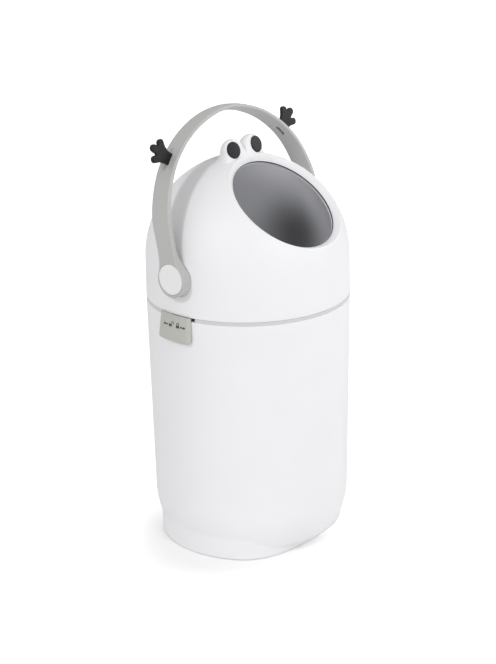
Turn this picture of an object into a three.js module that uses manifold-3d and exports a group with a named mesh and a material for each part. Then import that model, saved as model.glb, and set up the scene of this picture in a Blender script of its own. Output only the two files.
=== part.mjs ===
// Nappy bin with a turning drum: a tapered bucket on an oval foot, a hinged domed lid with a
// round mouth, a drum inside the dome that an arched handle turns, and a slider that locks the lid.
// Millimetres, +Z up. The origin is on the floor under the middle of the bin, the mouth faces -Y,
// the handle turns about X, the lock is on the -X side and the lid's hinge on the +X side.
import * as THREE from 'three';
import { mergeVertices } from 'three/addons/utils/BufferGeometryUtils.js';
import manifold from 'manifold-3d';

const wasm = await manifold();
wasm.setup();

const rad = THREE.MathUtils.degToRad;

// Gaps
const seatGap = 0.3;
const runningGap = 0.3;
const overrun = 5;

// Bucket and foot
const seamRadius = 140;
const bucketHeight = 344;
const wallTaper = 4.5;
const bellyHeight = 66;
const bellyRadius = 112;
const floorHeight = 8;
const floorCorner = 7;
const wall = 3;
const footSideInset = 5.7;
const footFrontInset = 20.2;
const footTop = 56;
const padStand = 0.8;
const padRadius = 7.5;
const padThickness = 3.2;
const footHalfWidth = seamRadius - footSideInset;
const footHalfDepth = seamRadius - footFrontInset;

// Seam band and what seats in it
const bandHeight = 5;
const bandSetBack = 0.3;
const bandWidth = 7;
const bandLegDepth = 10;
const bandLegWall = 1.4;
const bandLedge = 5;
const bandLedgeHeight = 2;
const bandTop = bucketHeight + bandHeight;
const bandOuter = seamRadius - bandSetBack;
const bandInner = bandOuter - bandWidth;

// Dome
const domeInset = 0.6;
const skirtHeight = 50.7;
const mouthRadius = 75.2;
const mouthElevation = 50.4;
const rimRoll = 5;
const rimWall = 2.5;
const lipGap = 1.2;
const lidBottom = bandTop + seatGap;
const axisHeight = lidBottom + skirtHeight;
const domeRadius = seamRadius - domeInset;

// Drum
const drumClearance = 9.4;
const drumWall = 2.5;
const drumMouthStep = 2.6;
const trunnionRadius = 11;
const keySide = 13;
const drumRadius = domeRadius - wall - drumClearance;
const drumMouthRadius = mouthRadius - drumMouthStep;

// Handle, and the bosses on the dome that it turns on
const hubRadius = 23;
const hubDepth = 13.4;
const hubBossLip = 1.2;
const hubBossFlare = 6.5;
const hubBossProud = 0.5;
const capRadius = 20.5;
const archSetIn = 1.1;
const archHeight = 203.7;
const handleTilt = 12.25;
const bandThickness = 4.5;
const legThickness = 6.8;
const legHalfWidth = 14.35;
const legReach = 46;
const fairingStart = 12;
const thinnedAt = 190;
const handleEdge = 1.5;
const hubBossRadius = hubRadius + hubBossLip;
const hubBossFace = domeRadius + hubBossProud;
const hubInnerFace = hubBossFace + seatGap;
const hubOuterFace = hubInnerFace + hubDepth;
const archHalfWidth = hubOuterFace - archSetIn;

// Eyes, behind the mouth's upper edge
const eyeOffset = 18.6;
const eyeSetback = 12.95;
const eyeRise = 6.32;
const eyeRadius = 16;
const eyeFlare = 2.6;
const pupilRadius = 11.2;
const pupilAside = 4.3;
const pupilForward = 5.4;
const pupilUp = 3.4;
const pupilSplay = 4.7;
const pupilElevation = 19.3;

// Lid hinge, on the side opposite the lock
const hingeStandOff = 6.5;
const hingeAbove = 2;
const knuckleRadius = 4.2;
const hingePinRadius = 1.9;
const hingeWidth = 40;
const hingeMiddle = 15;
const hingePlate = 3.3;

// Numbers of facets
const around = 36;
const aroundDrum = 32;
const aroundHub = 20;
const aroundEye = 20;
const aroundSmall = 8;
const arcSteps = 3;
const domeSteps = 4;

const materials = {
  white: new THREE.MeshStandardMaterial({ color: 0xefeff1, roughness: 0.42, metalness: 0 }),
  cap: new THREE.MeshStandardMaterial({ color: 0xdfdfdf, roughness: 0.45, metalness: 0 }),
  handle: new THREE.MeshStandardMaterial({ color: 0xb2b3ae, roughness: 0.5, metalness: 0 }),
  tab: new THREE.MeshStandardMaterial({ color: 0xb7b7af, roughness: 0.5, metalness: 0 }),
  band: new THREE.MeshStandardMaterial({ color: 0xc6c6c9, roughness: 0.5, metalness: 0 }),
  drum: new THREE.MeshStandardMaterial({ color: 0x8e8f94, roughness: 0.55, metalness: 0 }),
  black: new THREE.MeshStandardMaterial({ color: 0x28282a, roughness: 0.5, metalness: 0 }),
  rubber: new THREE.MeshStandardMaterial({ color: 0x6d6e70, roughness: 0.85, metalness: 0 }),
  steel: new THREE.MeshStandardMaterial({ color: 0xb9babd, roughness: 0.3, metalness: 1 }),
  natural: new THREE.MeshStandardMaterial({ color: 0xd9d9d4, roughness: 0.5, metalness: 0 }),
};

// A closed geometry as a solid: shared corners merged, flat triangles dropped, faces turned out.
function solidOf(geometry) {
  const bare = geometry.clone();
  bare.deleteAttribute('normal');
  bare.deleteAttribute('uv');
  const merged = mergeVertices(bare);
  const places = merged.attributes.position;
  const index = merged.index.array;
  const corners = [];
  let volume = 0;
  const [a, b, c] = [new THREE.Vector3(), new THREE.Vector3(), new THREE.Vector3()];
  for (let i = 0; i < index.length; i += 3) {
    const [p, q, r] = [index[i], index[i + 1], index[i + 2]];
    if (p === q || q === r || r === p) continue;
    corners.push(p, q, r);
    a.fromBufferAttribute(places, p);
    b.fromBufferAttribute(places, q);
    c.fromBufferAttribute(places, r);
    volume += a.dot(b.cross(c));
  }
  if (volume < 0) corners.reverse();
  return new wasm.Manifold(new wasm.Mesh({
    numProp: 3,
    vertProperties: new Float32Array(places.array),
    triVerts: new Uint32Array(corners),
  }));
}

function joined(first, ...others) {
  return others.reduce((whole, next) => whole.add(next), first);
}

function cut(whole, ...tools) {
  return tools.reduce((rest, tool) => rest.subtract(tool), whole);
}

// A named mesh of a solid.
function piece(name, solid, material) {
  const { vertProperties, triVerts } = solid.getMesh();
  const geometry = new THREE.BufferGeometry();
  geometry.setAttribute('position', new THREE.BufferAttribute(new Float32Array(vertProperties), 3));
  geometry.setIndex(Array.from(triVerts));
  geometry.computeVertexNormals();
  const mesh = new THREE.Mesh(geometry, material);
  mesh.name = name;
  return mesh;
}

// Revolves: a profile of radius and height, about Z, about the handle's axis (side 1 or -1 along
// X), or about the mouth's own axis.
const mouthTurn = Math.PI / 2 - rad(mouthElevation);

function revolve(profile, facets = around, steps = arcSteps) {
  return new THREE.LatheGeometry(profile.getPoints(steps), facets).rotateX(Math.PI / 2);
}

function revolveAboutX(profile, side, facets = around) {
  return revolve(profile, facets).rotateY(side * Math.PI / 2);
}

function revolveAboutMouth(profile, facets = around) {
  return revolve(profile, facets).rotateX(mouthTurn);
}

// A profile from a list of corners in radius and height, closed where it starts.
function profileOf(corners) {
  const path = new THREE.Path(corners.map(([r, z]) => new THREE.Vector2(r, z)));
  path.closePath();
  return path;
}

function disc(radius, low, high, facets = aroundSmall) {
  return revolve(profileOf([[0, low], [radius, low], [radius, high], [0, high]]), facets);
}

function block(low, high) {
  const size = new THREE.Vector3().subVectors(high, low);
  const middle = new THREE.Vector3().addVectors(high, low).multiplyScalar(1 / 2);
  return new THREE.BoxGeometry(size.x, size.y, size.z).translate(middle.x, middle.y, middle.z);
}

// A ring sector between two radii and two heights. Its angles are in degrees from -X towards -Y.
function sector(inner, outer, from, to, low, high) {
  const shape = new THREE.Shape();
  shape.absarc(0, 0, outer, Math.PI + rad(from), Math.PI + rad(to), false);
  shape.absarc(0, 0, inner, Math.PI + rad(to), Math.PI + rad(from), true);
  const options = { depth: high - low, bevelEnabled: false, curveSegments: arcSteps };
  return new THREE.ExtrudeGeometry(shape, options).translate(0, 0, low);
}

// A shape drawn in X and Z, extruded along Y about the middle.
function alongY(shape, width) {
  const options = { depth: width, bevelEnabled: false, curveSegments: arcSteps * 2 };
  return new THREE.ExtrudeGeometry(shape, options).rotateX(Math.PI / 2).translate(0, width / 2, 0);
}

// A screw along Z: its head stands below the seat at 0 and its shank goes up.
const screwSizes = { shank: 1.5, head: 3.2, headHeight: 1.7, crown: 2.2, tip: 1.6, clearance: 0.3 };
const screwLengths = { plate: 8.8, collar: 13, hub: 12.6 };

function screw(length) {
  const { shank, head, headHeight, crown, tip } = screwSizes;
  const profile = profileOf([
    [0, -headHeight], [crown, -headHeight], [head, 0], [shank, 0], [shank, length - tip],
    [0, length],
  ]);
  return revolve(profile, aroundSmall);
}

const screwHole = screwSizes.shank + screwSizes.clearance;

// Bucket: the tapered wall, the rounded belly and the floor, with the oval foot under them.
function wallRadius(height) {
  return seamRadius - wallTaper * (1 - height / bucketHeight);
}

function bucketBody(inset, top) {
  const belly = bellyRadius - inset;
  const bellyCentre = wallRadius(bellyHeight) - bellyRadius;
  const low = floorHeight + inset;
  const cornerTop = low + floorCorner;
  const end = -Math.asin((bellyHeight - cornerTop) / belly);
  const cornerRadius = bellyCentre + belly * Math.cos(end);
  const profile = new THREE.Path();
  profile.moveTo(0, top);
  profile.lineTo(wallRadius(top) - inset, top);
  profile.lineTo(wallRadius(bellyHeight) - inset, bellyHeight);
  profile.absarc(bellyCentre, bellyHeight, belly, 0, end, true);
  const cornerPull = floorCorner / 2;
  profile.quadraticCurveTo(cornerRadius - cornerPull, low, cornerRadius - floorCorner * 2, low);
  profile.lineTo(0, low);
  profile.closePath();
  return solidOf(revolve(profile));
}

function oval(halfWidth, halfDepth, low, high) {
  const shape = new THREE.Shape();
  shape.absellipse(0, 0, halfWidth, halfDepth, 0, Math.PI * 2);
  const options = { depth: high - low, bevelEnabled: false, curveSegments: around / 2 };
  return solidOf(new THREE.ExtrudeGeometry(shape, options).translate(0, 0, low));
}

const cornerAngles = [45, 135, 225, 315];

const padPlaces = cornerAngles.map((angle) => {
  const inset = wall + padRadius * 2;
  return new THREE.Vector2(
    (footHalfWidth - inset) * Math.cos(rad(angle)),
    (footHalfDepth - inset) * Math.sin(rad(angle)),
  );
});

const padSizes = { bossWall: 2, stem: 2.5, stemTop: 6.2, bossStand: 1.5 };

const footRibs = { count: 6, thickness: 2, low: 3, inner: 34 };

function bucketSolid() {
  const foot = cut(
    oval(footHalfWidth, footHalfDepth, padStand, footTop),
    oval(footHalfWidth - wall, footHalfDepth - wall, padStand - overrun, footTop + overrun),
  );
  let whole = joined(bucketBody(0, bucketHeight), foot);
  const ribTop = floorHeight + wall / 2;
  const ribOuter = footHalfDepth - wall;
  for (let i = 0; i < footRibs.count; i += 1) {
    const rib = block(
      new THREE.Vector3(footRibs.inner, -footRibs.thickness / 2, footRibs.low),
      new THREE.Vector3(ribOuter, footRibs.thickness / 2, ribTop),
    );
    whole = whole.add(solidOf(rib.rotateZ(Math.PI * 2 * i / footRibs.count)));
  }
  const hubRib = cut(
    solidOf(disc(footRibs.inner + footRibs.thickness, footRibs.low, ribTop, aroundHub)),
    solidOf(disc(footRibs.inner, footRibs.low - overrun, floorHeight, aroundHub)),
  );
  whole = whole.add(hubRib);
  const bossRadius = padRadius + padSizes.bossWall;
  for (const place of padPlaces) {
    const boss = disc(bossRadius, padSizes.bossStand, ribTop);
    const recess = disc(padRadius + seatGap, 0, padThickness + seatGap);
    const stemHole = disc(padSizes.stem + seatGap, 0, padSizes.stemTop + seatGap);
    whole = whole.add(solidOf(boss.translate(place.x, place.y, 0)));
    whole = cut(
      whole,
      solidOf(recess.translate(place.x, place.y, 0)),
      solidOf(stemHole.translate(place.x, place.y, 0)),
    );
  }
  whole = whole.subtract(bucketBody(wall, bucketHeight + overrun));
  for (const place of bracketScrewPlaces) {
    const hole = disc(screwHole, seamRadius - wall - overrun, seamRadius + overrun);
    whole = whole.subtract(solidOf(hole.rotateY(Math.PI / 2).translate(0, place.y, place.z)));
  }
  return whole;
}

function padSolid() {
  return solidOf(revolve(profileOf([
    [0, 0], [padRadius - padStand, 0], [padRadius, padStand], [padRadius, padThickness],
    [padSizes.stem, padThickness], [padSizes.stem, padSizes.stemTop], [0, padSizes.stemTop],
  ]), aroundSmall));
}

// Seam band: the visible grey ring, with a leg that hugs the inside of the bucket wall and a ledge
// for the bag ring. The lock's neck passes through a slot in it.
const lockAngles = {
  tabBack: -11.3,
  tabFront: 9.5,
  slotBack: -5.6,
  slotFront: 11.1,
  neckBack: -5.2,
  neckFront: 7.6,
  boltFront: 0.7,
  toeBack: 1.2,
  stemBack: 4.4,
  stemFront: 6.6,
};

const legBottom = bucketHeight - bandLegDepth;
const legOuter = wallRadius(legBottom) - wall - seatGap;

function bandSolid() {
  const ledgeInner = legOuter - bandLedge;
  const ledgeTop = legBottom + bandLedgeHeight;
  const ring = revolve(profileOf([
    [bandOuter, bucketHeight], [bandOuter, bandTop], [bandInner, bandTop], [bandInner, bucketHeight],
    [legOuter - bandLegWall, bucketHeight], [legOuter - bandLegWall, ledgeTop],
    [ledgeInner, ledgeTop], [ledgeInner, legBottom], [legOuter, legBottom],
    [legOuter, bucketHeight],
  ]));
  const slot = sector(
    bandInner - overrun, bandOuter + overrun, lockAngles.slotBack, lockAngles.slotFront,
    bucketHeight, bandTop + overrun,
  );
  return cut(solidOf(ring), solidOf(slot));
}

// Bag ring: lies on the band's ledge and holds the bag's edge between itself and the band.
const bagRing = { thickness: 2.2, skirtDepth: 14, skirtWall: 2 };

function bagRingSolid() {
  const flangeOuter = legOuter - bandLegWall - seatGap;
  const low = legBottom + bandLedgeHeight + seatGap;
  const top = low + bagRing.thickness;
  const skirtOuter = legOuter - bandLedge - seatGap;
  const skirtInner = skirtOuter - bagRing.skirtWall;
  return solidOf(revolve(profileOf([
    [skirtInner, low - bagRing.skirtDepth], [skirtOuter, low - bagRing.skirtDepth],
    [skirtOuter, low], [flangeOuter, low], [flangeOuter, top], [skirtInner, top],
  ])));
}

// Lock slider: the tab outside, the neck through the band's slot and the bolt inside it.
const tabSizes = {
  thickness: 4.5,
  height: 37.6,
  topGap: 0.9,
  bevel: 1,
  frontRound: 3.2,
  bodyGap: 1,
};

const hookSizes = {
  bandGap: 1.2,
  thickness: 3,
  drop: 3.8,
  toeHeight: 2.6,
  boltGap: 0.4,
  boltHeight: 3,
  neckLift: 0.7,
  neckHeight: 3.3,
};
const hookOuter = bandInner - hookSizes.bandGap;
const hookInner = hookOuter - hookSizes.thickness;
const hookLow = bucketHeight - hookSizes.drop;

function lockSolid() {
  const inner = seamRadius + tabSizes.bodyGap;
  const outer = inner + tabSizes.thickness;
  const back = Math.PI + rad(lockAngles.tabBack);
  const front = Math.PI + rad(lockAngles.tabFront);
  const roundAngle = tabSizes.frontRound / outer;
  const corner = (radius, angle) => [radius * Math.cos(angle), radius * Math.sin(angle)];
  const shape = new THREE.Shape();
  shape.absarc(0, 0, outer, back, front - roundAngle, false);
  shape.quadraticCurveTo(...corner(outer, front), ...corner(outer - tabSizes.frontRound, front));
  shape.lineTo(...corner(inner, front));
  shape.absarc(0, 0, inner, front, back, true);
  const top = bandTop - tabSizes.topGap;
  const tab = new THREE.ExtrudeGeometry(shape, {
    depth: tabSizes.height - tabSizes.bevel * 2,
    bevelThickness: tabSizes.bevel,
    bevelSize: tabSizes.bevel,
    bevelOffset: -tabSizes.bevel,
    bevelSegments: 2,
    curveSegments: arcSteps,
  }).translate(0, 0, top - tabSizes.height + tabSizes.bevel);
  const { neckBack, neckFront, boltFront } = lockAngles;
  const neckLow = bucketHeight + hookSizes.neckLift;
  const neckTop = neckLow + hookSizes.neckHeight;
  const neckInner = hookOuter + hookSizes.neckLift;
  const boltLow = hookLow + hookSizes.toeHeight + hookSizes.boltGap;
  const boltInner = hookInner - runningGap;
  return joined(
    solidOf(tab),
    solidOf(sector(neckInner, inner + tabSizes.bevel * 2, neckBack, neckFront, neckLow, neckTop)),
    solidOf(sector(
      boltInner, neckInner + tabSizes.bevel, neckBack, boltFront, boltLow, boltLow + hookSizes.boltHeight,
    )),
  );
}

// Lid collar: closes the dome round the drum, plugs into the bucket and carries the lock's hook.
const collar = {
  lift: 3,
  thickness: 3,
  lip: 3.3,
  hookGap: 1.7,
  skirtWall: 2.5,
  skirtDrop: 3,
  bossRadius: 4.2,
  bossSink: 0.2,
  bossHeight: 23,
};

const collarLow = bandTop + collar.lift;
const collarTop = collarLow + collar.thickness;
const screwCircle = domeRadius - wall - collar.bossRadius + collar.bossSink;
const collarScrewPlaces = cornerAngles.map((angle) => new THREE.Vector2(
  screwCircle * Math.cos(rad(angle)),
  screwCircle * Math.sin(rad(angle)),
));

function collarSolid() {
  const outer = domeRadius - wall - seatGap;
  const skirtOuter = hookInner - collar.hookGap;
  const skirtInner = skirtOuter - collar.skirtWall;
  const inner = skirtInner - collar.lip;
  const skirtLow = bucketHeight - collar.skirtDrop;
  const ring = revolve(profileOf([
    [inner, collarLow], [skirtInner, collarLow], [skirtInner, skirtLow], [skirtOuter, skirtLow],
    [skirtOuter, collarLow], [outer, collarLow], [outer, collarTop], [inner, collarTop],
  ]));
  const { toeBack, stemBack, stemFront } = lockAngles;
  const toeTop = hookLow + hookSizes.toeHeight;
  const rootTop = collarLow + collar.thickness / 2;
  let whole = joined(
    solidOf(ring),
    solidOf(sector(hookInner, hookOuter, stemBack, stemFront, hookLow, rootTop)),
    solidOf(sector(hookInner, hookOuter, toeBack, stemFront, hookLow, toeTop)),
  );
  for (const place of collarScrewPlaces) {
    const hole = disc(screwHole, collarLow - overrun, collarTop + overrun);
    whole = whole.subtract(solidOf(hole.translate(place.x, place.y, 0)));
  }
  return whole;
}

// Dome, about its own centre: the skirt and the hemisphere with the rolled mouth, two eye bumps
// and a flared boss round each trunnion hole.
const rimCentreRadius = mouthRadius + rimRoll;
const rimCentreHeight = Math.sqrt((domeRadius - rimRoll) ** 2 - rimCentreRadius ** 2);
const rimAngle = Math.asin(rimCentreRadius / (domeRadius - rimRoll));
const lipRadius = drumRadius + lipGap;
const lipHeight = Math.sqrt(lipRadius ** 2 - mouthRadius ** 2);
const eyeAngle = rad(mouthElevation) + rimAngle + eyeSetback / domeRadius;
const eyeReach = domeRadius + eyeRise;
const eyeBack = -eyeReach * Math.cos(eyeAngle);
const eyeHeight = eyeReach * Math.sin(eyeAngle);

function domeBody(inset, low) {
  const profile = new THREE.Path();
  profile.moveTo(0, low);
  profile.lineTo(seamRadius - inset, low);
  profile.lineTo(domeRadius - inset, 0);
  profile.absarc(0, 0, domeRadius - inset, 0, Math.PI / 2, false);
  profile.closePath();
  return solidOf(revolve(profile, around, domeSteps));
}

function mouthCutter() {
  const near = lipHeight;
  const far = domeRadius + overrun;
  const slope = Math.tan(rimAngle);
  const profile = profileOf([[0, near], [near * slope, near], [far * slope, far], [0, far]]);
  return solidOf(revolveAboutMouth(profile));
}

const rimRoot = { angle: 1.2, sinkShare: 0.3, inner: 0.9 };

function rimRing() {
  const rootAngle = rimAngle + rad(rimRoot.angle);
  const rootOuter = domeRadius - wall * rimRoot.sinkShare;
  const rootInner = domeRadius - wall + rimRoot.inner;
  const outerWall = mouthRadius + rimWall;
  const profile = new THREE.Path();
  profile.moveTo(mouthRadius, lipHeight);
  profile.lineTo(mouthRadius, rimCentreHeight);
  profile.absarc(rimCentreRadius, rimCentreHeight, rimRoll, Math.PI, Math.PI / 2 - rimAngle, true);
  profile.lineTo(rootOuter * Math.sin(rootAngle), rootOuter * Math.cos(rootAngle));
  profile.lineTo(rootInner * Math.sin(rootAngle), rootInner * Math.cos(rootAngle));
  profile.lineTo(outerWall, rimCentreHeight - rimWall);
  profile.lineTo(outerWall, lipHeight);
  profile.closePath();
  return solidOf(revolveAboutMouth(profile));
}

// Frame of a pupil: Z points out of the face, at the middle of the disc's back.
function pupilFrame(side) {
  const splay = rad(pupilSplay);
  const rise = rad(pupilElevation);
  const out = new THREE.Vector3(
    side * Math.sin(splay),
    -Math.cos(splay) * Math.cos(rise),
    Math.cos(splay) * Math.sin(rise),
  ).normalize();
  const turn = new THREE.Quaternion().setFromUnitVectors(new THREE.Vector3(0, 0, 1), out);
  const place = new THREE.Vector3(
    side * (eyeOffset + pupilAside),
    eyeBack - pupilForward,
    eyeHeight + pupilUp,
  );
  return new THREE.Matrix4().compose(place, turn, new THREE.Vector3(1, 1, 1));
}

const pupilSizes = { thickness: 2.4, sink: 1.4, stem: 2.5, stemLength: 6, edge: 0.5 };

function eyeBump(side) {
  const centre = new THREE.Vector3(side * eyeOffset, eyeBack, eyeHeight);
  const ball = new THREE.SphereGeometry(eyeRadius, aroundEye, arcSteps * 3);
  const sunk = domeRadius - wall;
  const length = centre.length() - sunk;
  const neck = new THREE.CylinderGeometry(eyeRadius, eyeRadius + eyeFlare, length, aroundEye);
  const down = centre.clone().normalize();
  const turn = new THREE.Quaternion().setFromUnitVectors(new THREE.Vector3(0, 1, 0), down);
  const middle = down.clone().multiplyScalar(sunk + length / 2);
  neck.applyQuaternion(turn).translate(middle.x, middle.y, middle.z);
  const whole = joined(
    solidOf(ball.applyQuaternion(turn).translate(centre.x, centre.y, centre.z)),
    solidOf(neck),
  );
  const reach = eyeRadius * 3;
  const face = block(
    new THREE.Vector3(-reach, -reach, 0),
    new THREE.Vector3(reach, reach, reach),
  );
  return cut(whole, solidOf(face.applyMatrix4(pupilFrame(side))));
}

function pupilRecess(side) {
  const recess = disc(pupilRadius + seatGap, -pupilSizes.sink - seatGap, overrun, aroundHub);
  const stemLow = -pupilSizes.sink - pupilSizes.stemLength - seatGap;
  const stemHole = disc(pupilSizes.stem + seatGap, stemLow, 0);
  return joined(solidOf(recess), solidOf(stemHole)).transform(pupilFrame(side).toArray());
}

function pupilSolid() {
  const { thickness, sink, stem, stemLength, edge } = pupilSizes;
  const front = thickness - sink;
  return solidOf(revolve(profileOf([
    [0, -sink - stemLength], [stem, -sink - stemLength], [stem, -sink], [pupilRadius, -sink],
    [pupilRadius, front - edge], [pupilRadius - edge, front], [0, front],
  ]), aroundHub));
}

const bush = { wall: 3.6, flange: 19, flangeThickness: 1.3, length: 6.4 };
const trunnionHole = trunnionRadius + runningGap + bush.wall + seatGap;

function hubBoss(side) {
  const flareRadius = hubBossRadius + hubBossFlare;
  const flareHeight = Math.sqrt(domeRadius ** 2 - flareRadius ** 2) - seatGap;
  const low = domeRadius - wall * 3;
  const profile = new THREE.Path();
  profile.moveTo(0, low);
  profile.lineTo(flareRadius, low);
  profile.lineTo(flareRadius, flareHeight);
  profile.quadraticCurveTo(hubBossRadius, flareHeight, hubBossRadius, hubBossFace);
  profile.lineTo(0, hubBossFace);
  profile.closePath();
  return solidOf(revolveAboutX(profile, side, aroundHub));
}

function domeSolid() {
  let whole = domeBody(0, -skirtHeight);
  for (const side of [-1, 1]) {
    whole = joined(whole, eyeBump(side), hubBoss(side));
  }
  whole = cut(whole, domeBody(wall, -skirtHeight - overrun), mouthCutter());
  whole = whole.add(rimRing());
  for (const side of [-1, 1]) {
    const hole = disc(trunnionHole, domeRadius - wall * 4, hubBossFace + overrun, aroundHub);
    whole = cut(whole, pupilRecess(side), solidOf(hole.rotateY(side * Math.PI / 2)));
  }
  for (const place of collarScrewPlaces) {
    const bossLow = collarTop + seatGap - axisHeight;
    const bossTop = bossLow + collar.bossHeight;
    const boss = disc(collar.bossRadius, bossLow, bossTop);
    const hole = disc(screwHole, bossLow - overrun, bossTop - overrun);
    whole = whole.add(solidOf(boss.translate(place.x, place.y, 0)));
    whole = whole.subtract(solidOf(hole.translate(place.x, place.y, 0)));
  }
  for (const place of leafScrewPlaces) {
    const hole = disc(screwHole, domeRadius - wall - overrun, seamRadius + overrun);
    hole.rotateY(Math.PI / 2).translate(0, place.y, place.z - axisHeight);
    whole = whole.subtract(solidOf(hole));
  }
  return whole;
}

// Soft ring behind the mouth's rim that wipes the drum.
const seal = { wall: 1.8, foot: 6.4, footDepth: 2.6, seat: 0.5 };

function sealSolid() {
  const inner = mouthRadius + rimWall + seatGap;
  const outer = inner + seal.foot;
  const top = rimCentreHeight - rimWall - seal.seat;
  const low = top - seal.footDepth;
  const tipAt = (radius) => Math.sqrt((drumRadius + runningGap) ** 2 - radius ** 2);
  return solidOf(revolveAboutMouth(profileOf([
    [inner, tipAt(inner)], [inner, top], [outer, top], [outer, low],
    [inner + seal.wall, low], [inner + seal.wall, tipAt(inner + seal.wall)],
  ])));
}

// Bush in each trunnion hole, with its flange between the dome's boss and the handle's hub.
function bushSolid(side) {
  const bore = trunnionRadius + runningGap;
  const flangeLow = hubInnerFace;
  return solidOf(revolveAboutX(profileOf([
    [bore, flangeLow - bush.length], [bore + bush.wall, flangeLow - bush.length],
    [bore + bush.wall, flangeLow], [bush.flange, flangeLow],
    [bush.flange, flangeLow + bush.flangeThickness], [bore, flangeLow + bush.flangeThickness],
  ]), side, aroundHub));
}

// Drum: two half shells that lap at the middle, each with the trunnion that the handle drives.
const drumLap = { length: 3, share: 0.45 };
const trunnion = { shoulder: 4, shoulderLength: 4.5, roundProud: 1.7, bore: 2.3, boreStart: 4 };

function drumBody(radius, side) {
  const profile = new THREE.Path();
  const meet = side < 0 ? 0 : seatGap;
  profile.moveTo(0, meet);
  profile.lineTo(radius, meet);
  profile.absarc(0, 0, radius, Math.asin(meet / radius), Math.PI / 2, false);
  profile.closePath();
  return revolveAboutX(profile, side, aroundDrum);
}

function drumSolid(side) {
  const inner = drumRadius - drumWall;
  const shoulder = trunnionRadius + trunnion.shoulder;
  const shoulderEnd = drumRadius + trunnion.shoulderLength;
  const roundEnd = hubBossFace + trunnion.roundProud;
  const end = hub.socketEnd - seatGap;
  const stub = revolveAboutX(profileOf([
    [0, inner + drumWall / 2], [shoulder, inner - seatGap], [shoulder, shoulderEnd],
    [trunnionRadius, shoulderEnd], [trunnionRadius, roundEnd], [0, roundEnd],
  ]), side, aroundHub);
  const key = block(
    new THREE.Vector3(roundEnd - overrun, -keySide / 2, -keySide / 2),
    new THREE.Vector3(end, keySide / 2, keySide / 2),
  ).rotateY(side < 0 ? Math.PI : 0).rotateX(rad(-handleTilt));
  let whole = joined(solidOf(drumBody(drumRadius, side)), solidOf(stub), solidOf(key));
  whole = whole.subtract(solidOf(revolveAboutX(profileOf([
    [0, -overrun], [inner, -overrun], [inner, 0],
    ...hollowPoints(inner), [0, inner],
  ]), side, aroundDrum)));
  const lapRadius = inner + drumWall * drumLap.share;
  const tongueInner = lapRadius + seatGap;
  if (side < 0) {
    const tongue = revolveAboutX(profileOf([
      [tongueInner, -drumLap.length], [drumRadius - seatGap, -drumLap.length],
      [drumRadius - seatGap, overrun], [tongueInner, overrun],
    ]), side, aroundDrum);
    whole = whole.add(solidOf(tongue));
  } else {
    const rebate = revolveAboutX(profileOf([
      [lapRadius, -overrun], [drumRadius + overrun, -overrun],
      [drumRadius + overrun, drumLap.length + seatGap], [lapRadius, drumLap.length + seatGap],
    ]), side, aroundDrum);
    whole = whole.subtract(solidOf(rebate));
  }
  const reach = drumRadius + overrun;
  const opening = revolveAboutMouth(profileOf([
    [0, 0], [drumMouthRadius, 0], [drumMouthRadius, reach], [0, reach],
  ]));
  const boreStart = drumRadius + trunnion.boreStart;
  const pilot = disc(trunnion.bore, boreStart, end + overrun).rotateY(side * Math.PI / 2);
  return cut(whole, solidOf(opening), solidOf(pilot));
}

// Points of the hollow's quarter circle, from the lap to the axis.
function hollowPoints(radius) {
  const steps = arcSteps * 2;
  return Array.from({ length: steps - 1 }, (_, i) => {
    const angle = (i + 1) / steps * Math.PI / 2;
    return [radius * Math.cos(angle), radius * Math.sin(angle)];
  });
}

// Handle, about the hub axis and upright: one band bent over the dome. Its outline closes round each
// hub like a keyhole, and it is as deep as the hub at its foot and thins out up the leg.
const archFootShares = [-1.13, -0.35, 0.565];
const archShares = [[1, 0.209], [0.977, 0.446], [0.797, 0.713], [0.457, 0.913], [0, 1]];
const legWidthShares = [[0.3, 1.058], [0.7, 1.029], [1, 1.127]];
const stationCounts = { hub: 8, foot: 6, leg: 13 };
const handPlaceShare = 0.2805;
const hubSteps = { cap: 2.4, web: 5, webThickness: 1.6, capLedge: 3.5 };
const hub = {
  capSeat: hubOuterFace - hubSteps.cap,
  web: hubOuterFace - hubSteps.web,
  socketEnd: hubOuterFace - hubSteps.web - hubSteps.webThickness,
  capWell: capRadius - hubSteps.capLedge,
};

function archCurve() {
  const foot = archFootShares.map((h) => new THREE.Vector3(-hubOuterFace, 0, h * hubRadius));
  const leg = archShares.map(([x, h]) => new THREE.Vector3(-x * archHalfWidth, 0, h * archHeight));
  const half = [...foot, ...leg];
  const other = half.slice(0, -1).reverse().map((p) => new THREE.Vector3(-p.x, 0, p.z));
  return new THREE.CatmullRomCurve3([...half, ...other], false, 'centripetal');
}

// Share of the curve's length at a climb from the left hub's axis.
function shareAt(curve, climb) {
  return (climb - archFootShares[0] * hubRadius) / curve.getLength();
}

function topClimb(curve) {
  return curve.getLength() / 2 + archFootShares[0] * hubRadius;
}

function halfWidthAt(climb, top) {
  const leave = hubRadius / 2;
  if (climb <= leave) return Math.sqrt(hubRadius ** 2 - climb ** 2);
  const start = Math.sqrt(hubRadius ** 2 - leave ** 2);
  if (climb <= legReach) {
    const t = (climb - leave) / (legReach - leave);
    const pull = start - (leave / start) * (legReach - leave) / 3;
    const s = 1 - t;
    return start * s ** 3 + 3 * pull * t * s ** 2 + legHalfWidth * (3 * t ** 2 * s + t ** 3);
  }
  const places = [[legReach / top, 1], ...legWidthShares];
  const after = places.findIndex(([place]) => place * top > climb);
  const next = after < 0 ? places.length - 1 : after;
  const [p0, w0] = places[next - 1];
  const [p1, w1] = places[next];
  return legHalfWidth * (w0 + (w1 - w0) * THREE.MathUtils.smoothstep(climb / top, p0, p1));
}

function thicknessAt(climb) {
  const faired = THREE.MathUtils.smoothstep(climb, fairingStart, legReach);
  const thinned = THREE.MathUtils.smoothstep(climb, legReach, thinnedAt);
  return hubDepth - (hubDepth - legThickness) * faired - (legThickness - bandThickness) * thinned;
}

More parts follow.
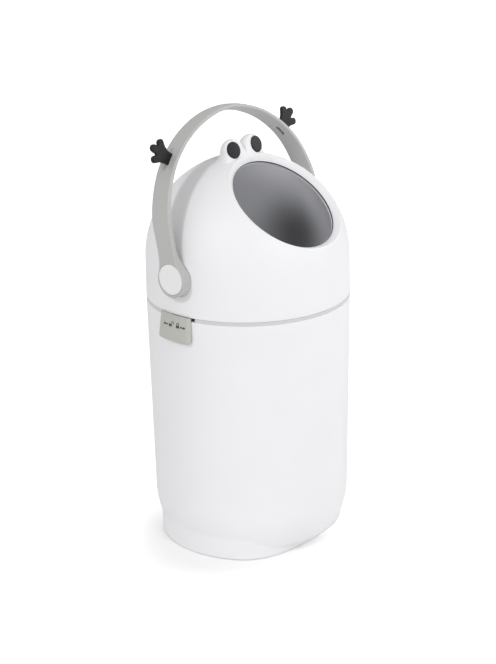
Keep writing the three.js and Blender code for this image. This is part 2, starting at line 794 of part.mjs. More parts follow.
// The outline's points from under the left hub to the top: climb and half width.
function keyholeOutline(top) {
  const { hub: hubCount, foot, leg } = stationCounts;
  const leave = hubRadius / 2;
  const step = rad(120) / (hubCount - 1 / 2);
  const round = Array.from({ length: hubCount }, (_, i) => {
    const angle = (i + 1 / 2) * step - Math.PI / 2;
    return new THREE.Vector2(hubRadius * Math.sin(angle), hubRadius * Math.cos(angle));
  });
  const climbs = [
    ...Array.from({ length: foot }, (_, i) => leave + (legReach - leave) * (i + 1) / foot),
    ...Array.from({ length: leg }, (_, i) => legReach + (top - legReach) * (i + 1) / leg),
  ];
  return [...round, ...climbs.map((climb) => new THREE.Vector2(climb, halfWidthAt(climb, top)))];
}

// Rings of points across the handle, with chamfered edges, for one half of it.
function handleRings(curve, side) {
  const top = topClimb(curve);
  const outline = keyholeOutline(top);
  return outline.map((station, i) => {
    const before = outline[i - 1] ?? new THREE.Vector2(-hubRadius, 0);
    const after = outline[i + 1] ?? new THREE.Vector2(station.x + hubRadius, station.y);
    const along = new THREE.Vector2().subVectors(after, before).normalize();
    const face = new THREE.Vector2(station.x + along.y * handleEdge, station.y - along.x * handleEdge);
    const deep = thicknessAt(station.x);
    return [
      [face, -1, 0], [face, 1, 0], [station, 1, handleEdge], [station, 1, deep - handleEdge],
      [face, 1, deep], [face, -1, deep], [station, -1, deep - handleEdge], [station, -1, handleEdge],
    ].map(([p, half, depth]) => {
      const share = shareAt(curve, p.x);
      const { place, out, across } = archFrame(curve, side < 0 ? share : 1 - share);
      return place.addScaledVector(across, half * p.y).addScaledVector(out, -depth);
    });
  });
}

// A solid through rings of points, with a fan of triangles over each end.
function loft(rings) {
  const points = rings.flat();
  const count = rings[0].length;
  const corners = [];
  for (let i = 0; i + 1 < rings.length; i += 1) {
    for (let j = 0; j < count; j += 1) {
      const a = i * count + j;
      const b = i * count + (j + 1) % count;
      corners.push(a, b, b + count, a, b + count, a + count);
    }
  }
  const last = (rings.length - 1) * count;
  for (let j = 1; j + 1 < count; j += 1) {
    corners.push(0, j + 1, j, last, last + j, last + j + 1);
  }
  const geometry = new THREE.BufferGeometry().setFromPoints(points);
  geometry.setIndex(corners);
  return geometry;
}

// Frame on the band's outer face at a share of the arch: X out of the band, Y along it, Z across.
function archFrame(curve, share) {
  const place = curve.getPointAt(share);
  const along = curve.getTangentAt(share);
  const across = new THREE.Vector3(0, 1, 0);
  const out = new THREE.Vector3().crossVectors(across, along).negate();
  return { place, along, out, across };
}

function handleSolid(curve) {
  const leftRings = handleRings(curve, -1);
  const rightRings = handleRings(curve, 1).slice(0, -1).reverse();
  let whole = solidOf(loft([...leftRings, ...rightRings]));
  const socketHalf = keySide / 2 + seatGap;
  const flangeEnd = hubInnerFace + bush.flangeThickness + seatGap;
  for (const side of [-1, 1]) {
    const bores = [
      disc(capRadius + seatGap, hub.capSeat, hubOuterFace + overrun, aroundHub),
      disc(hub.capWell, hub.web, hubOuterFace + overrun, aroundHub),
      disc(bush.flange + seatGap, hubInnerFace - overrun, flangeEnd, aroundHub),
      disc(screwHole, hub.web - overrun, hubOuterFace),
    ].map((bore) => solidOf(bore.rotateY(side * Math.PI / 2)));
    const socket = block(
      new THREE.Vector3(hubBossFace - overrun, -socketHalf, -socketHalf),
      new THREE.Vector3(hub.socketEnd, socketHalf, socketHalf),
    ).rotateY(side < 0 ? Math.PI : 0);
    whole = cut(whole, ...bores, solidOf(socket), solidOf(handSlot(curve, side)));
  }
  return whole;
}

// Hands: flat three-fingered plates in the handle's plane, each with a tongue through the band.
// Their outline is drawn out of the band and along it, with the palm on the band's outer face.
const hand = { thickness: 5, edge: 1, tongueLength: 17, tongueWidth: 3, tongueShort: 0.5 };
const handReach = 34.9;
const fingerRadius = 4.2;
const palmHalf = 8;
const waistHalf = 6.3;
const waistOut = 6;
const fingerShares = [[0.596, 0.295], [0.86, -0.075], [0.596, -0.39]];
const notchShares = [[0.56, 0.1], [0.57, -0.21]];
const handTurnOut = 5.5;

function handPlace(curve, side) {
  const share = shareAt(curve, topClimb(curve) * 2 * handPlaceShare);
  return side < 0 ? share : 1 - share;
}

function handSlot(curve, side) {
  const half = hand.tongueLength / 2 + seatGap;
  const thin = hand.tongueWidth / 2 + seatGap;
  const slot = block(
    new THREE.Vector3(-bandThickness - overrun, -half, -thin),
    new THREE.Vector3(overrun, half, thin),
  );
  return slot.applyMatrix4(frameMatrix(archFrame(curve, handPlace(curve, side))));
}

function frameMatrix({ place, along, out, across }) {
  return new THREE.Matrix4().makeBasis(out, along, across.clone()).setPosition(place);
}

function handShape() {
  const shape = new THREE.Shape();
  shape.moveTo(seatGap, palmHalf);
  shape.lineTo(waistOut, waistHalf);
  fingerShares.forEach(([outShare, alongShare], i) => {
    const [u, v] = [outShare * handReach, alongShare * handReach];
    const lean = Math.atan2(v, u - handTurnOut);
    shape.absarc(u, v, fingerRadius, lean + Math.PI / 2, lean - Math.PI / 2, true);
    const notch = notchShares[i];
    if (notch) shape.lineTo(notch[0] * handReach, notch[1] * handReach);
  });
  shape.lineTo(waistOut, -waistHalf);
  shape.lineTo(seatGap, -palmHalf);
  shape.closePath();
  return shape;
}

// The right hand's outline is the left one's turned over, so that both point the same way up.
function handSolid(curve, side) {
  const plate = new THREE.ExtrudeGeometry(handShape(), {
    depth: hand.thickness - hand.edge * 2,
    bevelThickness: hand.edge,
    bevelSize: hand.edge,
    bevelOffset: -hand.edge,
    bevelSegments: 1,
    curveSegments: arcSteps,
  }).translate(0, 0, hand.edge - hand.thickness / 2).scale(1, -side, 1);
  const tongueLow = hand.tongueShort - bandThickness;
  const tongue = block(
    new THREE.Vector3(tongueLow, -hand.tongueLength / 2, -hand.tongueWidth / 2),
    new THREE.Vector3(waistOut, hand.tongueLength / 2, hand.tongueWidth / 2),
  );
  const frame = frameMatrix(archFrame(curve, handPlace(curve, side)));
  return joined(solidOf(plate), solidOf(tongue)).transform(frame.toArray());
}

// Cap that closes the hub's well, with a snap ring behind it.
const cap = { edge: 0.5, ringInset: 4.5, ringWall: 1.6, sunk: 0.1 };

function capSolid(side) {
  const low = hub.capSeat + seatGap;
  const top = hubOuterFace - cap.sunk;
  const ringLow = hub.web + seatGap;
  const ringOuter = capRadius - cap.ringInset;
  const ringInner = ringOuter - cap.ringWall;
  return solidOf(revolveAboutX(profileOf([
    [0, low], [ringInner, low], [ringInner, ringLow], [ringOuter, ringLow], [ringOuter, low],
    [capRadius, low], [capRadius, top - cap.edge], [capRadius - cap.edge, top], [0, top],
  ]), side, aroundHub));
}

// Hinge: a bracket on the bucket and a leaf on the dome, on one pin.
const pinX = seamRadius + hingeStandOff;
const pinZ = bucketHeight + hingeAbove;
const plateSizes = { bracketDrop: 5, bracketHeight: 25, leafLift: 3.7, leafHeight: 13, sideGap: 0.4 };
const bracketTop = bucketHeight - plateSizes.bracketDrop;
const bracketLow = bracketTop - plateSizes.bracketHeight;
const leafLow = lidBottom + plateSizes.leafLift;
const leafTop = leafLow + plateSizes.leafHeight;
const plateOuter = seamRadius + seatGap + hingePlate;
const bracketScrewPlaces = [-1, 1].map((side) => new THREE.Vector3(
  plateOuter,
  side * hingeWidth / 3,
  (bracketLow + bracketTop) / 2,
));
const leafScrewPlaces = [-1, 1].map((side) => new THREE.Vector3(
  plateOuter,
  side * hingeWidth / 3,
  (leafLow + leafTop) / 2,
));

function hingePlateSolid(low, high) {
  return solidOf(block(
    new THREE.Vector3(seamRadius - hingePlate, -hingeWidth / 2, low),
    new THREE.Vector3(plateOuter, hingeWidth / 2, high),
  ));
}

function leafKnuckle() {
  const left = pinX - knuckleRadius;
  const end = leafLow + hingePlate * 2;
  const shape = new THREE.Shape();
  shape.moveTo(left, end);
  shape.lineTo(left, pinZ);
  shape.absarc(pinX, pinZ, knuckleRadius, Math.PI, Math.PI * 5 / 2, false);
  shape.lineTo(plateOuter - seatGap, end);
  shape.closePath();
  return solidOf(alongY(shape, hingeMiddle));
}

function bracketKnuckles() {
  const left = pinX - knuckleRadius;
  const end = bracketTop - hingePlate * 3;
  const shape = new THREE.Shape();
  shape.moveTo(left, end);
  shape.lineTo(plateOuter - seatGap, end);
  shape.lineTo(pinX, pinZ - knuckleRadius);
  shape.absarc(pinX, pinZ, knuckleRadius, -Math.PI / 2, Math.PI, false);
  shape.closePath();
  const gap = hingeMiddle + plateSizes.sideGap * 2;
  const opening = block(
    new THREE.Vector3(plateOuter, -gap / 2, end - overrun),
    new THREE.Vector3(pinX + knuckleRadius + overrun, gap / 2, pinZ + knuckleRadius + overrun),
  );
  const above = block(
    new THREE.Vector3(seamRadius - overrun, -gap / 2, bracketTop),
    new THREE.Vector3(pinX + knuckleRadius + overrun, gap / 2, pinZ + knuckleRadius + overrun),
  );
  return cut(solidOf(alongY(shape, hingeWidth)), solidOf(opening), solidOf(above));
}

function bodyColumn() {
  return solidOf(disc(seamRadius + seatGap, 0, axisHeight, around * 2));
}

function pinBore() {
  const bore = disc(hingePinRadius + runningGap, -hingeWidth, hingeWidth);
  return solidOf(bore.rotateX(Math.PI / 2).translate(pinX, 0, pinZ));
}

function plateScrewHoles(places) {
  return places.map((place) => {
    const hole = disc(screwHole, seamRadius - hingePlate - overrun, plateOuter + overrun);
    return solidOf(hole.rotateY(Math.PI / 2).translate(0, place.y, place.z));
  });
}

function bracketSolid() {
  const plate = hingePlateSolid(bracketLow, bracketTop);
  const whole = cut(joined(plate, bracketKnuckles()), bodyColumn(), pinBore());
  return cut(whole, ...plateScrewHoles(bracketScrewPlaces));
}

function leafSolid() {
  const plate = hingePlateSolid(leafLow, leafTop);
  const whole = cut(joined(plate, leafKnuckle()), bodyColumn(), pinBore());
  return cut(whole, ...plateScrewHoles(leafScrewPlaces));
}

function hingePinSolid() {
  const half = hingeWidth / 2;
  const edge = hingePinRadius / 4;
  const rod = revolve(profileOf([
    [0, -half], [hingePinRadius - edge, -half], [hingePinRadius, -half + edge],
    [hingePinRadius, half - edge], [hingePinRadius - edge, half], [0, half],
  ]), aroundSmall);
  return solidOf(rod.rotateX(Math.PI / 2));
}

// The whole bin.
const bin = new THREE.Group();
const lid = new THREE.Group();
lid.position.z = axisHeight;
const turning = new THREE.Group();
const arch = new THREE.Group();
arch.rotation.x = rad(-handleTilt);
bin.add(lid);
lid.add(turning);
turning.add(arch);

bin.add(piece('bucket', bucketSolid(), materials.white));
padPlaces.forEach((place, i) => {
  const pad = piece(`foot_pad_${i + 1}`, padSolid(), materials.rubber);
  pad.position.set(place.x, place.y, 0);
  bin.add(pad);
});
bin.add(piece('rim_band', bandSolid(), materials.band));
bin.add(piece('bag_ring', bagRingSolid(), materials.natural));
bin.add(piece('lock_slider', lockSolid(), materials.tab));
bin.add(piece('hinge_bracket', bracketSolid(), materials.white));
bin.add(piece('hinge_leaf', leafSolid(), materials.white));
const hingePin = piece('hinge_pin', hingePinSolid(), materials.steel);
hingePin.position.set(pinX, 0, pinZ);
bin.add(hingePin);

function addPlateScrews(name, places) {
  places.forEach((place, i) => {
    const screwMesh = piece(`${name}_${i + 1}`, solidOf(screw(screwLengths.plate)), materials.steel);
    screwMesh.rotation.y = -Math.PI / 2;
    screwMesh.position.set(place.x + seatGap, place.y, place.z);
    bin.add(screwMesh);
  });
}

addPlateScrews('bracket_screw', bracketScrewPlaces);
addPlateScrews('leaf_screw', leafScrewPlaces);
bin.add(piece('lid_collar', collarSolid(), materials.natural));
collarScrewPlaces.forEach((place, i) => {
  const solid = solidOf(screw(screwLengths.collar));
  const screwMesh = piece(`collar_screw_${i + 1}`, solid, materials.steel);
  screwMesh.position.set(place.x, place.y, collarLow - seatGap);
  bin.add(screwMesh);
});

lid.add(piece('lid_dome', domeSolid(), materials.white));
lid.add(piece('mouth_seal', sealSolid(), materials.rubber));
const curve = archCurve();
arch.add(piece('handle', handleSolid(curve), materials.handle));
for (const [side, word] of [[-1, 'left'], [1, 'right']]) {
  const pupil = piece(`pupil_${word}`, pupilSolid(), materials.black);
  pupil.applyMatrix4(pupilFrame(side));
  lid.add(pupil);
  lid.add(piece(`trunnion_bush_${word}`, bushSolid(side), materials.natural));
  turning.add(piece(`drum_${word}`, drumSolid(side), materials.drum));
  const hubScrewSolid = solidOf(screw(screwLengths.hub));
  const hubScrew = piece(`hub_screw_${word}`, hubScrewSolid, materials.steel);
  hubScrew.rotation.y = -side * Math.PI / 2;
  hubScrew.position.x = side * (hub.web + seatGap);
  turning.add(hubScrew);
  arch.add(piece(`hub_cap_${word}`, capSolid(side), materials.cap));
  arch.add(piece(`hand_${word}`, handSolid(curve, side), materials.black));
}

bin.updateMatrixWorld(true);

export default bin;
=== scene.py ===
import bisect
import math

import bmesh
import bpy
from mathutils import Matrix, Vector


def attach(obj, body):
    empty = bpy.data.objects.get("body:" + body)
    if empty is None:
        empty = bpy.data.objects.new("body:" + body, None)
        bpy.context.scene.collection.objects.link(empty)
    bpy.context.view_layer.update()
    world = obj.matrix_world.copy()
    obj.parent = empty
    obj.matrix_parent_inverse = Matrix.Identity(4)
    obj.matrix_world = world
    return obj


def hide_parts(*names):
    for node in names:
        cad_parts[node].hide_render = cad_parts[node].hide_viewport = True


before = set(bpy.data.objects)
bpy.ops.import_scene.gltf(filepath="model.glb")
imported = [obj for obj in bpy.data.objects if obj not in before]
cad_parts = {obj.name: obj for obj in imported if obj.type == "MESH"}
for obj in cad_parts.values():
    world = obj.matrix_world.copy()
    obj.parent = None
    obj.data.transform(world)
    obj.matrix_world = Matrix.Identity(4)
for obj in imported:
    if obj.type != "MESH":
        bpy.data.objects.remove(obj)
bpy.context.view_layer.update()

# Sizes are in millimetres, in the CAD frame; meshes are made in metres.
MM = 0.001
scene = bpy.context.scene
collection = scene.collection

# Sizes.
SEAM_RADIUS = 140
BUCKET_HEIGHT = 344
WALL_FOOT_RADIUS = 135.5
BELLY_HEIGHT = 66
BELLY_RADIUS = 112
FLOOR_HEIGHT = 8
FLOOR_CORNER = 7
WALL = 3
FOOT_RADIUS = 131
FOOT_FRONT_RADIUS = 109.4
FOOT_TURNS = (32, 85)
PAD_STAND = 0.8
BAND_TOP = 349
BAND_OUTER = 139.7
LID_BOTTOM = 349.3
AXIS_HEIGHT = 400
DOME_RADIUS = 139.4
MOUTH_RADIUS = 75.7
MOUTH_ELEVATION = math.radians(51.5)
RIM_ROLL = 4.8
DRUM_RADIUS = 127
DRUM_WALL = 2.5
DRUM_MOUTH = 74.9
HUB_RADIUS = 23
HUB_FACE = 153.6
HUB_INNER = 138.4
CAP_RADIUS = 20.5
CAP_RISE = 2
BOSS_FACE = 138.1
BUSH_SEAT = 139.9
BUSH_RADIUS = 19.1
HANDLE_TILT = math.radians(12.25)
ARCH_HALF_WIDTH = 152.5
ARCH_HEIGHT = 203.7
BAND_THICKNESS = 4.5
LEG_THICKNESS = 6.8
LEG_HALF_WIDTH = 14.35
LEG_REACH = 46


# Mesh helpers.
SIDES = ((-1, "left"), (1, "right"))
FINE_TURN = 288
MERGE_GAP = 1e-6
TOOL_CREASE = 30
# Pieces whose carving leaves slivers, where the cuts run along their faces.
CLEANED = ("dome_shell", "handle_band")
SLIVER_GAP = 4e-6
SLIVER_FACES = 20


def linked_mesh(name, points, faces, crease):
    """An object of points in millimetres, smooth but for edges sharper than crease degrees."""
    mesh = bpy.data.meshes.new(name)
    mesh.from_pydata([Vector(p) * MM for p in points], [], faces)
    bm = bmesh.new()
    bm.from_mesh(mesh)
    bmesh.ops.remove_doubles(bm, verts=bm.verts, dist=MERGE_GAP)
    bmesh.ops.recalc_face_normals(bm, faces=bm.faces)
    bm.to_mesh(mesh)
    bm.free()
    smoothed(mesh, crease)
    ob = bpy.data.objects.new(name, mesh)
    collection.objects.link(ob)
    return ob


def smoothed(mesh, crease):
    mesh.shade_smooth()
    mesh.set_sharp_from_angle(angle=math.radians(crease))


def mesh_object(name, points, faces, material, body, slot, stands_for=(), crease=40):
    """A piece of one material that rides on a body and stands for CAD nodes."""
    ob = linked_mesh(name, points, faces, crease)
    ob.data.materials.append(material)
    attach(ob, body)
    if stands_for:
        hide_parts(*stands_for)
    return ob


def tool_object(points, faces):
    """A closed shape for carve to cut away."""
    return linked_mesh("tool", points, faces, TOOL_CREASE)


def carve(ob, tools, crease=40):
    """Cuts each tool out of ob and deletes the tools."""
    for tool in tools:
        cutter = ob.modifiers.new("carve", "BOOLEAN")
        cutter.operation = "DIFFERENCE"
        cutter.solver = "EXACT"
        cutter.object = tool
    mesh = bpy.data.meshes.new_from_object(ob.evaluated_get(bpy.context.evaluated_depsgraph_get()))
    old = ob.data
    ob.modifiers.clear()
    ob.data = mesh
    mesh.name = ob.name
    bpy.data.meshes.remove(old)
    for tool in tools:
        bpy.data.objects.remove(tool)
    if ob.name in CLEANED:
        drop_slivers(ob.data)
    smoothed(ob.data, crease)


def drop_slivers(mesh):
    """Joins points that all but touch and deletes loose islands of a few faces."""
    bm = bmesh.new()
    bm.from_mesh(mesh)
    bmesh.ops.remove_doubles(bm, verts=bm.verts, dist=SLIVER_GAP)
    bmesh.ops.dissolve_degenerate(bm, edges=bm.edges, dist=MERGE_GAP)
    seen, stray = set(), []
    for face in bm.faces:
        if face in seen:
            continue
        island, todo = [], [face]
        seen.add(face)
        while todo:
            island.append(todo.pop())
            for edge in island[-1].edges:
                fresh = [other for other in edge.link_faces if other not in seen]
                seen.update(fresh)
                todo += fresh
        if len(island) < SLIVER_FACES:
            stray += island
    bmesh.ops.delete(bm, geom=stray, context="FACES")
    bm.to_mesh(mesh)
    bm.free()


def spaced(start, end, steps):
    """Evenly spaced numbers from start to end, one more than steps."""
    return [start + (end - start) * k / steps for k in range(steps + 1)]


def bend(t, start, corner, end):
    """The place at share t of a curve from start to end that bends at corner."""
    return (1 - t) ** 2 * start + 2 * t * (1 - t) * corner + t * t * end


def ball(radius, turn):
    """Radius and height of a point of a ball, at an angle from its axis."""
    return radius * math.sin(turn), radius * math.cos(turn)


def polar(radius, angle, *height):
    """A point at a radius and an angle about Z, flat or at a height."""
    return Vector((radius * math.cos(angle), radius * math.sin(angle), *height))


def fillet(corners, steps=5):
    """A closed outline of (x, y, radius) corners, each rounded by its radius."""
    points = []
    count = len(corners)
    for i, (x, y, radius) in enumerate(corners):
        here = Vector((x, y))
        before = Vector(corners[i - 1][:2]) - here
        after = Vector(corners[(i + 1) % count][:2]) - here
        if not radius:
            points.append(here)
            continue
        a, b = before.normalized(), after.normalized()
        half = a.angle(b) / 2
        reach = min(radius / math.tan(half), before.length * 0.49, after.length * 0.49)
        size = reach * math.tan(half)
        middle = here + (a + b).normalized() * (size / math.sin(half))
        start, end = here + a * reach - middle, here + b * reach - middle
        turn = start.angle_signed(end)
        for k in range(steps + 1):
            points.append(middle + Matrix.Rotation(-turn * k / steps, 2) @ start)
    return points


def revolve(profile, count=192, matrix=Matrix.Identity(4)):
    """Points and faces of a closed profile of (radius, height) turned about Z, placed by matrix."""
    points, faces, rings = [], [], []
    for r, h in profile:
        if r < 1e-6:
            rings.append([len(points)] * count)
            points.append(matrix @ Vector((0, 0, h)))
            continue
        rings.append(list(range(len(points), len(points) + count)))
        for i in range(count):
            a = math.tau * i / count
            points.append(matrix @ polar(r, a, h))
    for low, high in zip(rings, rings[1:] + rings[:1]):
        for i in range(count):
            j = (i + 1) % count
            face = [low[i], low[j], high[j], high[i]]
            face = [v for k, v in enumerate(face) if v != face[k - 1]]
            if len(face) > 2:
                faces.append(face)
    return points, faces


def joined(*parts):
    """One list of points and faces from several."""
    points, faces = [], []
    for more, sides in parts:
        start = len(points)
        points += more
        faces += [[v + start for v in face] for face in sides]
    return points, faces


def stepped(*steps):
    """The closed profile of a round solid made of (radius, low, high) steps, one above another."""
    profile = [(0, steps[0][1])]
    for radius, low, high in steps:
        profile += [(radius, low), (radius, high)]
    return profile + [(0, steps[-1][2])]


def rectangle(left, right, low, high):
    return [(left, low), (right, low), (right, high), (left, high)]


def rings_mesh(rings):
    """Points and faces through closed rings of equal length, with an end face on each end."""
    count = len(rings[0])
    points = [p for ring in rings for p in ring]
    faces = []
    for i in range(len(rings) - 1):
        for j in range(count):
            k = (j + 1) % count
            faces.append([i * count + j, i * count + k, (i + 1) * count + k, (i + 1) * count + j])
    last = (len(rings) - 1) * count
    faces.append(list(range(count))[::-1])
    faces.append([last + j for j in range(count)])
    return points, faces


def columns_mesh(columns):
    """Points and faces through closed columns of equal length that stand in a closed ring."""
    count, size = len(columns), len(columns[0])
    points = [p for column in columns for p in column]
    faces = []
    for i in range(count):
        for k in range(size):
            j, n = (i + 1) % count, (k + 1) % size
            faces.append([i * size + k, j * size + k, j * size + n, i * size + n])
    return points, faces


def inset(outline, distance):
    """The closed outline moved inwards by distance (the outline runs anticlockwise)."""
    moved = []
    count = len(outline)
    for i, p in enumerate(outline):
        along = (outline[(i + 1) % count] - outline[i - 1]).normalized()
        before = (p - outline[i - 1]).normalized()
        stretch = max(0.35, before.dot(along))
        moved.append(p + Vector((-along.y, along.x)) * (distance / stretch))
    return moved


def dense(outline, step):
    """The closed outline with points added so that none are further apart than step."""
    points = []
    for a, b in zip(outline, outline[1:] + outline[:1]):
        parts = max(1, math.ceil((b - a).length / step))
        points += [a.lerp(b, k / parts) for k in range(parts)]
    return points


def smooth_step(x, low, high):
    t = min(max((x - low) / (high - low), 0), 1)
    return t * t * (3 - 2 * t)


def plate(outline, low, high, edge, place, steps=4):
    """A plate with rounded edges; place turns (x, y, height) into a point of the part."""
    turns = spaced(0, math.pi / 2, steps)
    flat = edge * 1.25
    levels = [(edge * (1 - math.sin(a)), low + edge * (1 - math.cos(a))) for a in turns]
    levels += [(edge * (1 - math.cos(a)), high - edge * (1 - math.sin(a))) for a in turns]
    levels = [(flat, low)] + levels + [(flat, high)]
    rings = [[place(p.x, p.y, h) for p in inset(outline, d)] for d, h in levels]
    return rings_mesh(rings)


# Materials.
GRAIN_SIZE = 0.0006
CLOUD_SCALE = 14
CLOUD_ENDS = (0.3, 0.7)
WAVE_SCALE = 22
WAVE_DEPTH = 0.0004
GLOSS_SPREAD = 0.03
STREAK_SCALE = 900
STREAK_DARK = 0.86
STREAK_GLOSS = 0.08


def node_tree(name):
    material = bpy.data.materials.new(name)
    material.use_nodes = True
    return material, material.node_tree.nodes, material.node_tree.links


def noise(nodes, links, scale, detail):
    """Noise over the object's own coordinates."""
    place = nodes.new("ShaderNodeTexCoord")
    texture = nodes.new("ShaderNodeTexNoise")
    texture.inputs["Scale"].default_value = scale
    texture.inputs["Detail"].default_value = detail
    links.new(place.outputs["Object"], texture.inputs["Vector"])
    return texture.outputs["Fac"]


def ramp(nodes, links, value, dark, light, ends=(0, 1)):
    """A colour that runs from dark to light as value runs between the ends."""
    tint = nodes.new("ShaderNodeValToRGB")
    for stop, place, colour in zip(tint.color_ramp.elements, ends, (dark, light)):
        stop.position = place
        stop.color = [*colour, 1]
    links.new(value, tint.inputs["Fac"])
    return tint.outputs["Color"]


def mapped(nodes, links, value, low, high):
    """A node that turns a value of 0 to 1 into one of low to high."""
    node = nodes.new("ShaderNodeMapRange")
    node.inputs["To Min"].default_value = low
    node.inputs["To Max"].default_value = high
    links.new(value, node.inputs["Value"])
    return node


def bumped(nodes, links, height, strength, distance):
    node = nodes.new("ShaderNodeBump")
    node.inputs["Strength"].default_value = strength
    node.inputs["Distance"].default_value = distance
    links.new(height, node.inputs["Height"])
    return node


def fade_from(nodes, links, middle, near, far, low, high):
    """A value of low within near of one place of the object, which grows to high at far."""
    place = nodes.new("ShaderNodeTexCoord")
    away = nodes.new("ShaderNodeVectorMath")
    away.operation = "DISTANCE"
    away.inputs[1].default_value = middle
    links.new(place.outputs["Object"], away.inputs[0])
    fade = mapped(nodes, links, away.outputs["Value"], low, high)
    fade.interpolation_type = "SMOOTHSTEP"
    fade.inputs["From Min"].default_value = near
    fade.inputs["From Max"].default_value = far
    return fade.outputs["Result"]


def moulded(name, colour, roughness, grain, spread=0.02, specular=0.5, wave=0.0):
    """Moulded plastic: faint cloudiness of colour and gloss, a fine moulded grain, slow waviness."""
    material, nodes, links = node_tree(name)
    shader = nodes["Principled BSDF"]
    shader.inputs["Specular IOR Level"].default_value = specular
    cloud = noise(nodes, links, CLOUD_SCALE, 3)
    dark = [c * (1 - spread) for c in colour]
    light = [min(1, c * (1 + spread)) for c in colour]
    links.new(ramp(nodes, links, cloud, dark, light, CLOUD_ENDS), shader.inputs["Base Color"])
    gloss = mapped(nodes, links, cloud, roughness - GLOSS_SPREAD, roughness + GLOSS_SPREAD)
    links.new(gloss.outputs["Result"], shader.inputs["Roughness"])
    bump = bumped(nodes, links, noise(nodes, links, 1 / GRAIN_SIZE, 2), grain, GRAIN_SIZE / 4)
    if wave:
        swell = bumped(nodes, links, noise(nodes, links, WAVE_SCALE, 1), wave, WAVE_DEPTH)
        links.new(swell.outputs["Normal"], bump.inputs["Normal"])
    links.new(bump.outputs["Normal"], shader.inputs["Normal"])
    return material


def paint_shade(material, middle, near, far, share):
    """Painted shade: darkens a material to a share of its colour round one place of the object."""
    nodes, links = material.node_tree.nodes, material.node_tree.links
    base = nodes["Principled BSDF"].inputs["Base Color"]
    tint = nodes.new("ShaderNodeVectorMath")
    tint.operation = "SCALE"
    links.new(base.links[0].from_socket, tint.inputs[0])
    links.new(fade_from(nodes, links, middle, near, far, share, 1), tint.inputs["Scale"])
    links.new(tint.outputs["Vector"], base)


def brushed(name, colour, roughness):
    """Plated steel: fine streaks in colour and gloss."""
    material, nodes, links = node_tree(name)
    shader = nodes["Principled BSDF"]
    shader.inputs["Metallic"].default_value = 1
    streak = noise(nodes, links, STREAK_SCALE, 4)
    dark = [c * STREAK_DARK for c in colour]
    links.new(ramp(nodes, links, streak, dark, colour), shader.inputs["Base Color"])
    gloss = mapped(nodes, links, streak, roughness - STREAK_GLOSS, roughness + STREAK_GLOSS)
    links.new(gloss.outputs["Result"], shader.inputs["Roughness"])
    return material


WHITE = moulded("white_plastic", (0.812, 0.812, 0.826), 0.46, 0.03, 0.008, specular=0.3, wave=0.12)
CAP = moulded("cap_plastic", (0.8, 0.8, 0.8), 0.4, 0.04, 0.01)
HANDLE = moulded("handle_grey", (0.462, 0.464, 0.456), 0.42, 0.12)
TAB = moulded("tab_grey", (0.475, 0.474, 0.44), 0.45, 0.12)
BAND = moulded("band_grey", (0.6, 0.6, 0.615), 0.45, 0.1)
DRUM = moulded("drum_grey", (0.46, 0.463, 0.484), 0.4, 0.08, 0.03)
BLACK = moulded("black_plastic", (0.018, 0.018, 0.019), 0.42, 0.2, 0.15, specular=0.2)
MARK = moulded("mark_grey", (0.05, 0.05, 0.05), 0.5, 0.1, 0.05)
RUBBER = moulded("rubber", (0.14, 0.14, 0.15), 0.8, 0.3, 0.08)
NATURAL = moulded("natural_plastic", (0.66, 0.66, 0.63), 0.45, 0.08)
STEEL = brushed("steel", (0.58, 0.58, 0.6), 0.3)

# Painted shade: the drum's colour is darkened low on its right inside, where shadow falls deep in the bowl.
PAINTED_SHADE_PLACE = (0.114, 0.014, 0.398)
PAINTED_SHADE_NEAR = 0.008
PAINTED_SHADE_FAR = 0.072
PAINTED_SHADE_SHARE = 0.3
paint_shade(DRUM, PAINTED_SHADE_PLACE, PAINTED_SHADE_NEAR, PAINTED_SHADE_FAR, PAINTED_SHADE_SHARE)

# Bucket and foot.
FINE_ANGLES = spaced(0, math.tau, FINE_TURN)[:-1]
FOOT_EDGE = 0.7
CREASE_BLEND = 0.6
CREASE_NEAR = 3
CREASE_TOP = 60
RIM_EDGE = 0.5
RIM_CHAMFER = 0.15
INNER_EDGE = 0.4
FLOOR_TOP = FLOOR_HEIGHT + WALL
FLOOR_FLAT = 60
INNER_BELLY_LOW = 19
# The floor's corner inside, as (how far in, height) from where the inner belly ends.
INNER_CORNER = ((2.8, 14.7), (7, 12), (13, FLOOR_TOP))
MEET_STEP = 0.25


def wall_radius(z):
    return WALL_FOOT_RADIUS + (SEAM_RADIUS - WALL_FOOT_RADIUS) * z / BUCKET_HEIGHT


BELLY_CENTRE = wall_radius(BELLY_HEIGHT) - BELLY_RADIUS
CORNER_TOP = FLOOR_HEIGHT + FLOOR_CORNER


def belly_radius(z):
    """Outer radius of the bucket at a height, down to the corner of its floor."""
    if z >= BELLY_HEIGHT:
        return wall_radius(z)
    z = max(z, FLOOR_HEIGHT)
    if z >= CORNER_TOP:
        return BELLY_CENTRE + math.sqrt(BELLY_RADIUS ** 2 - (BELLY_HEIGHT - z) ** 2)
    top = BELLY_CENTRE + math.sqrt(BELLY_RADIUS ** 2 - (BELLY_HEIGHT - CORNER_TOP) ** 2)
    share = (z - FLOOR_HEIGHT) / FLOOR_CORNER
    return top - FLOOR_CORNER * 2 * (1 - math.sqrt(share)) * (1 - share / 4)


def foot_radius(angle):
    """The foot is round at both sides and draws in under the belly at the front and the back."""
    turn = math.degrees(math.atan2(abs(math.sin(angle)), abs(math.cos(angle))))
    return FOOT_RADIUS + (FOOT_FRONT_RADIUS - FOOT_RADIUS) * smooth_step(turn, *FOOT_TURNS)


def crease_height(radius):
    """The height at which the belly is as wide as the foot."""
    low, high = FLOOR_HEIGHT, CREASE_TOP
    for _ in range(24):
        middle = (low + high) / 2
        low, high = (middle, high) if belly_radius(middle) < radius else (low, middle)
    return low


def smooth_max(a, b, blend):
    return (a + b + math.sqrt((a - b) ** 2 + blend ** 2)) / 2


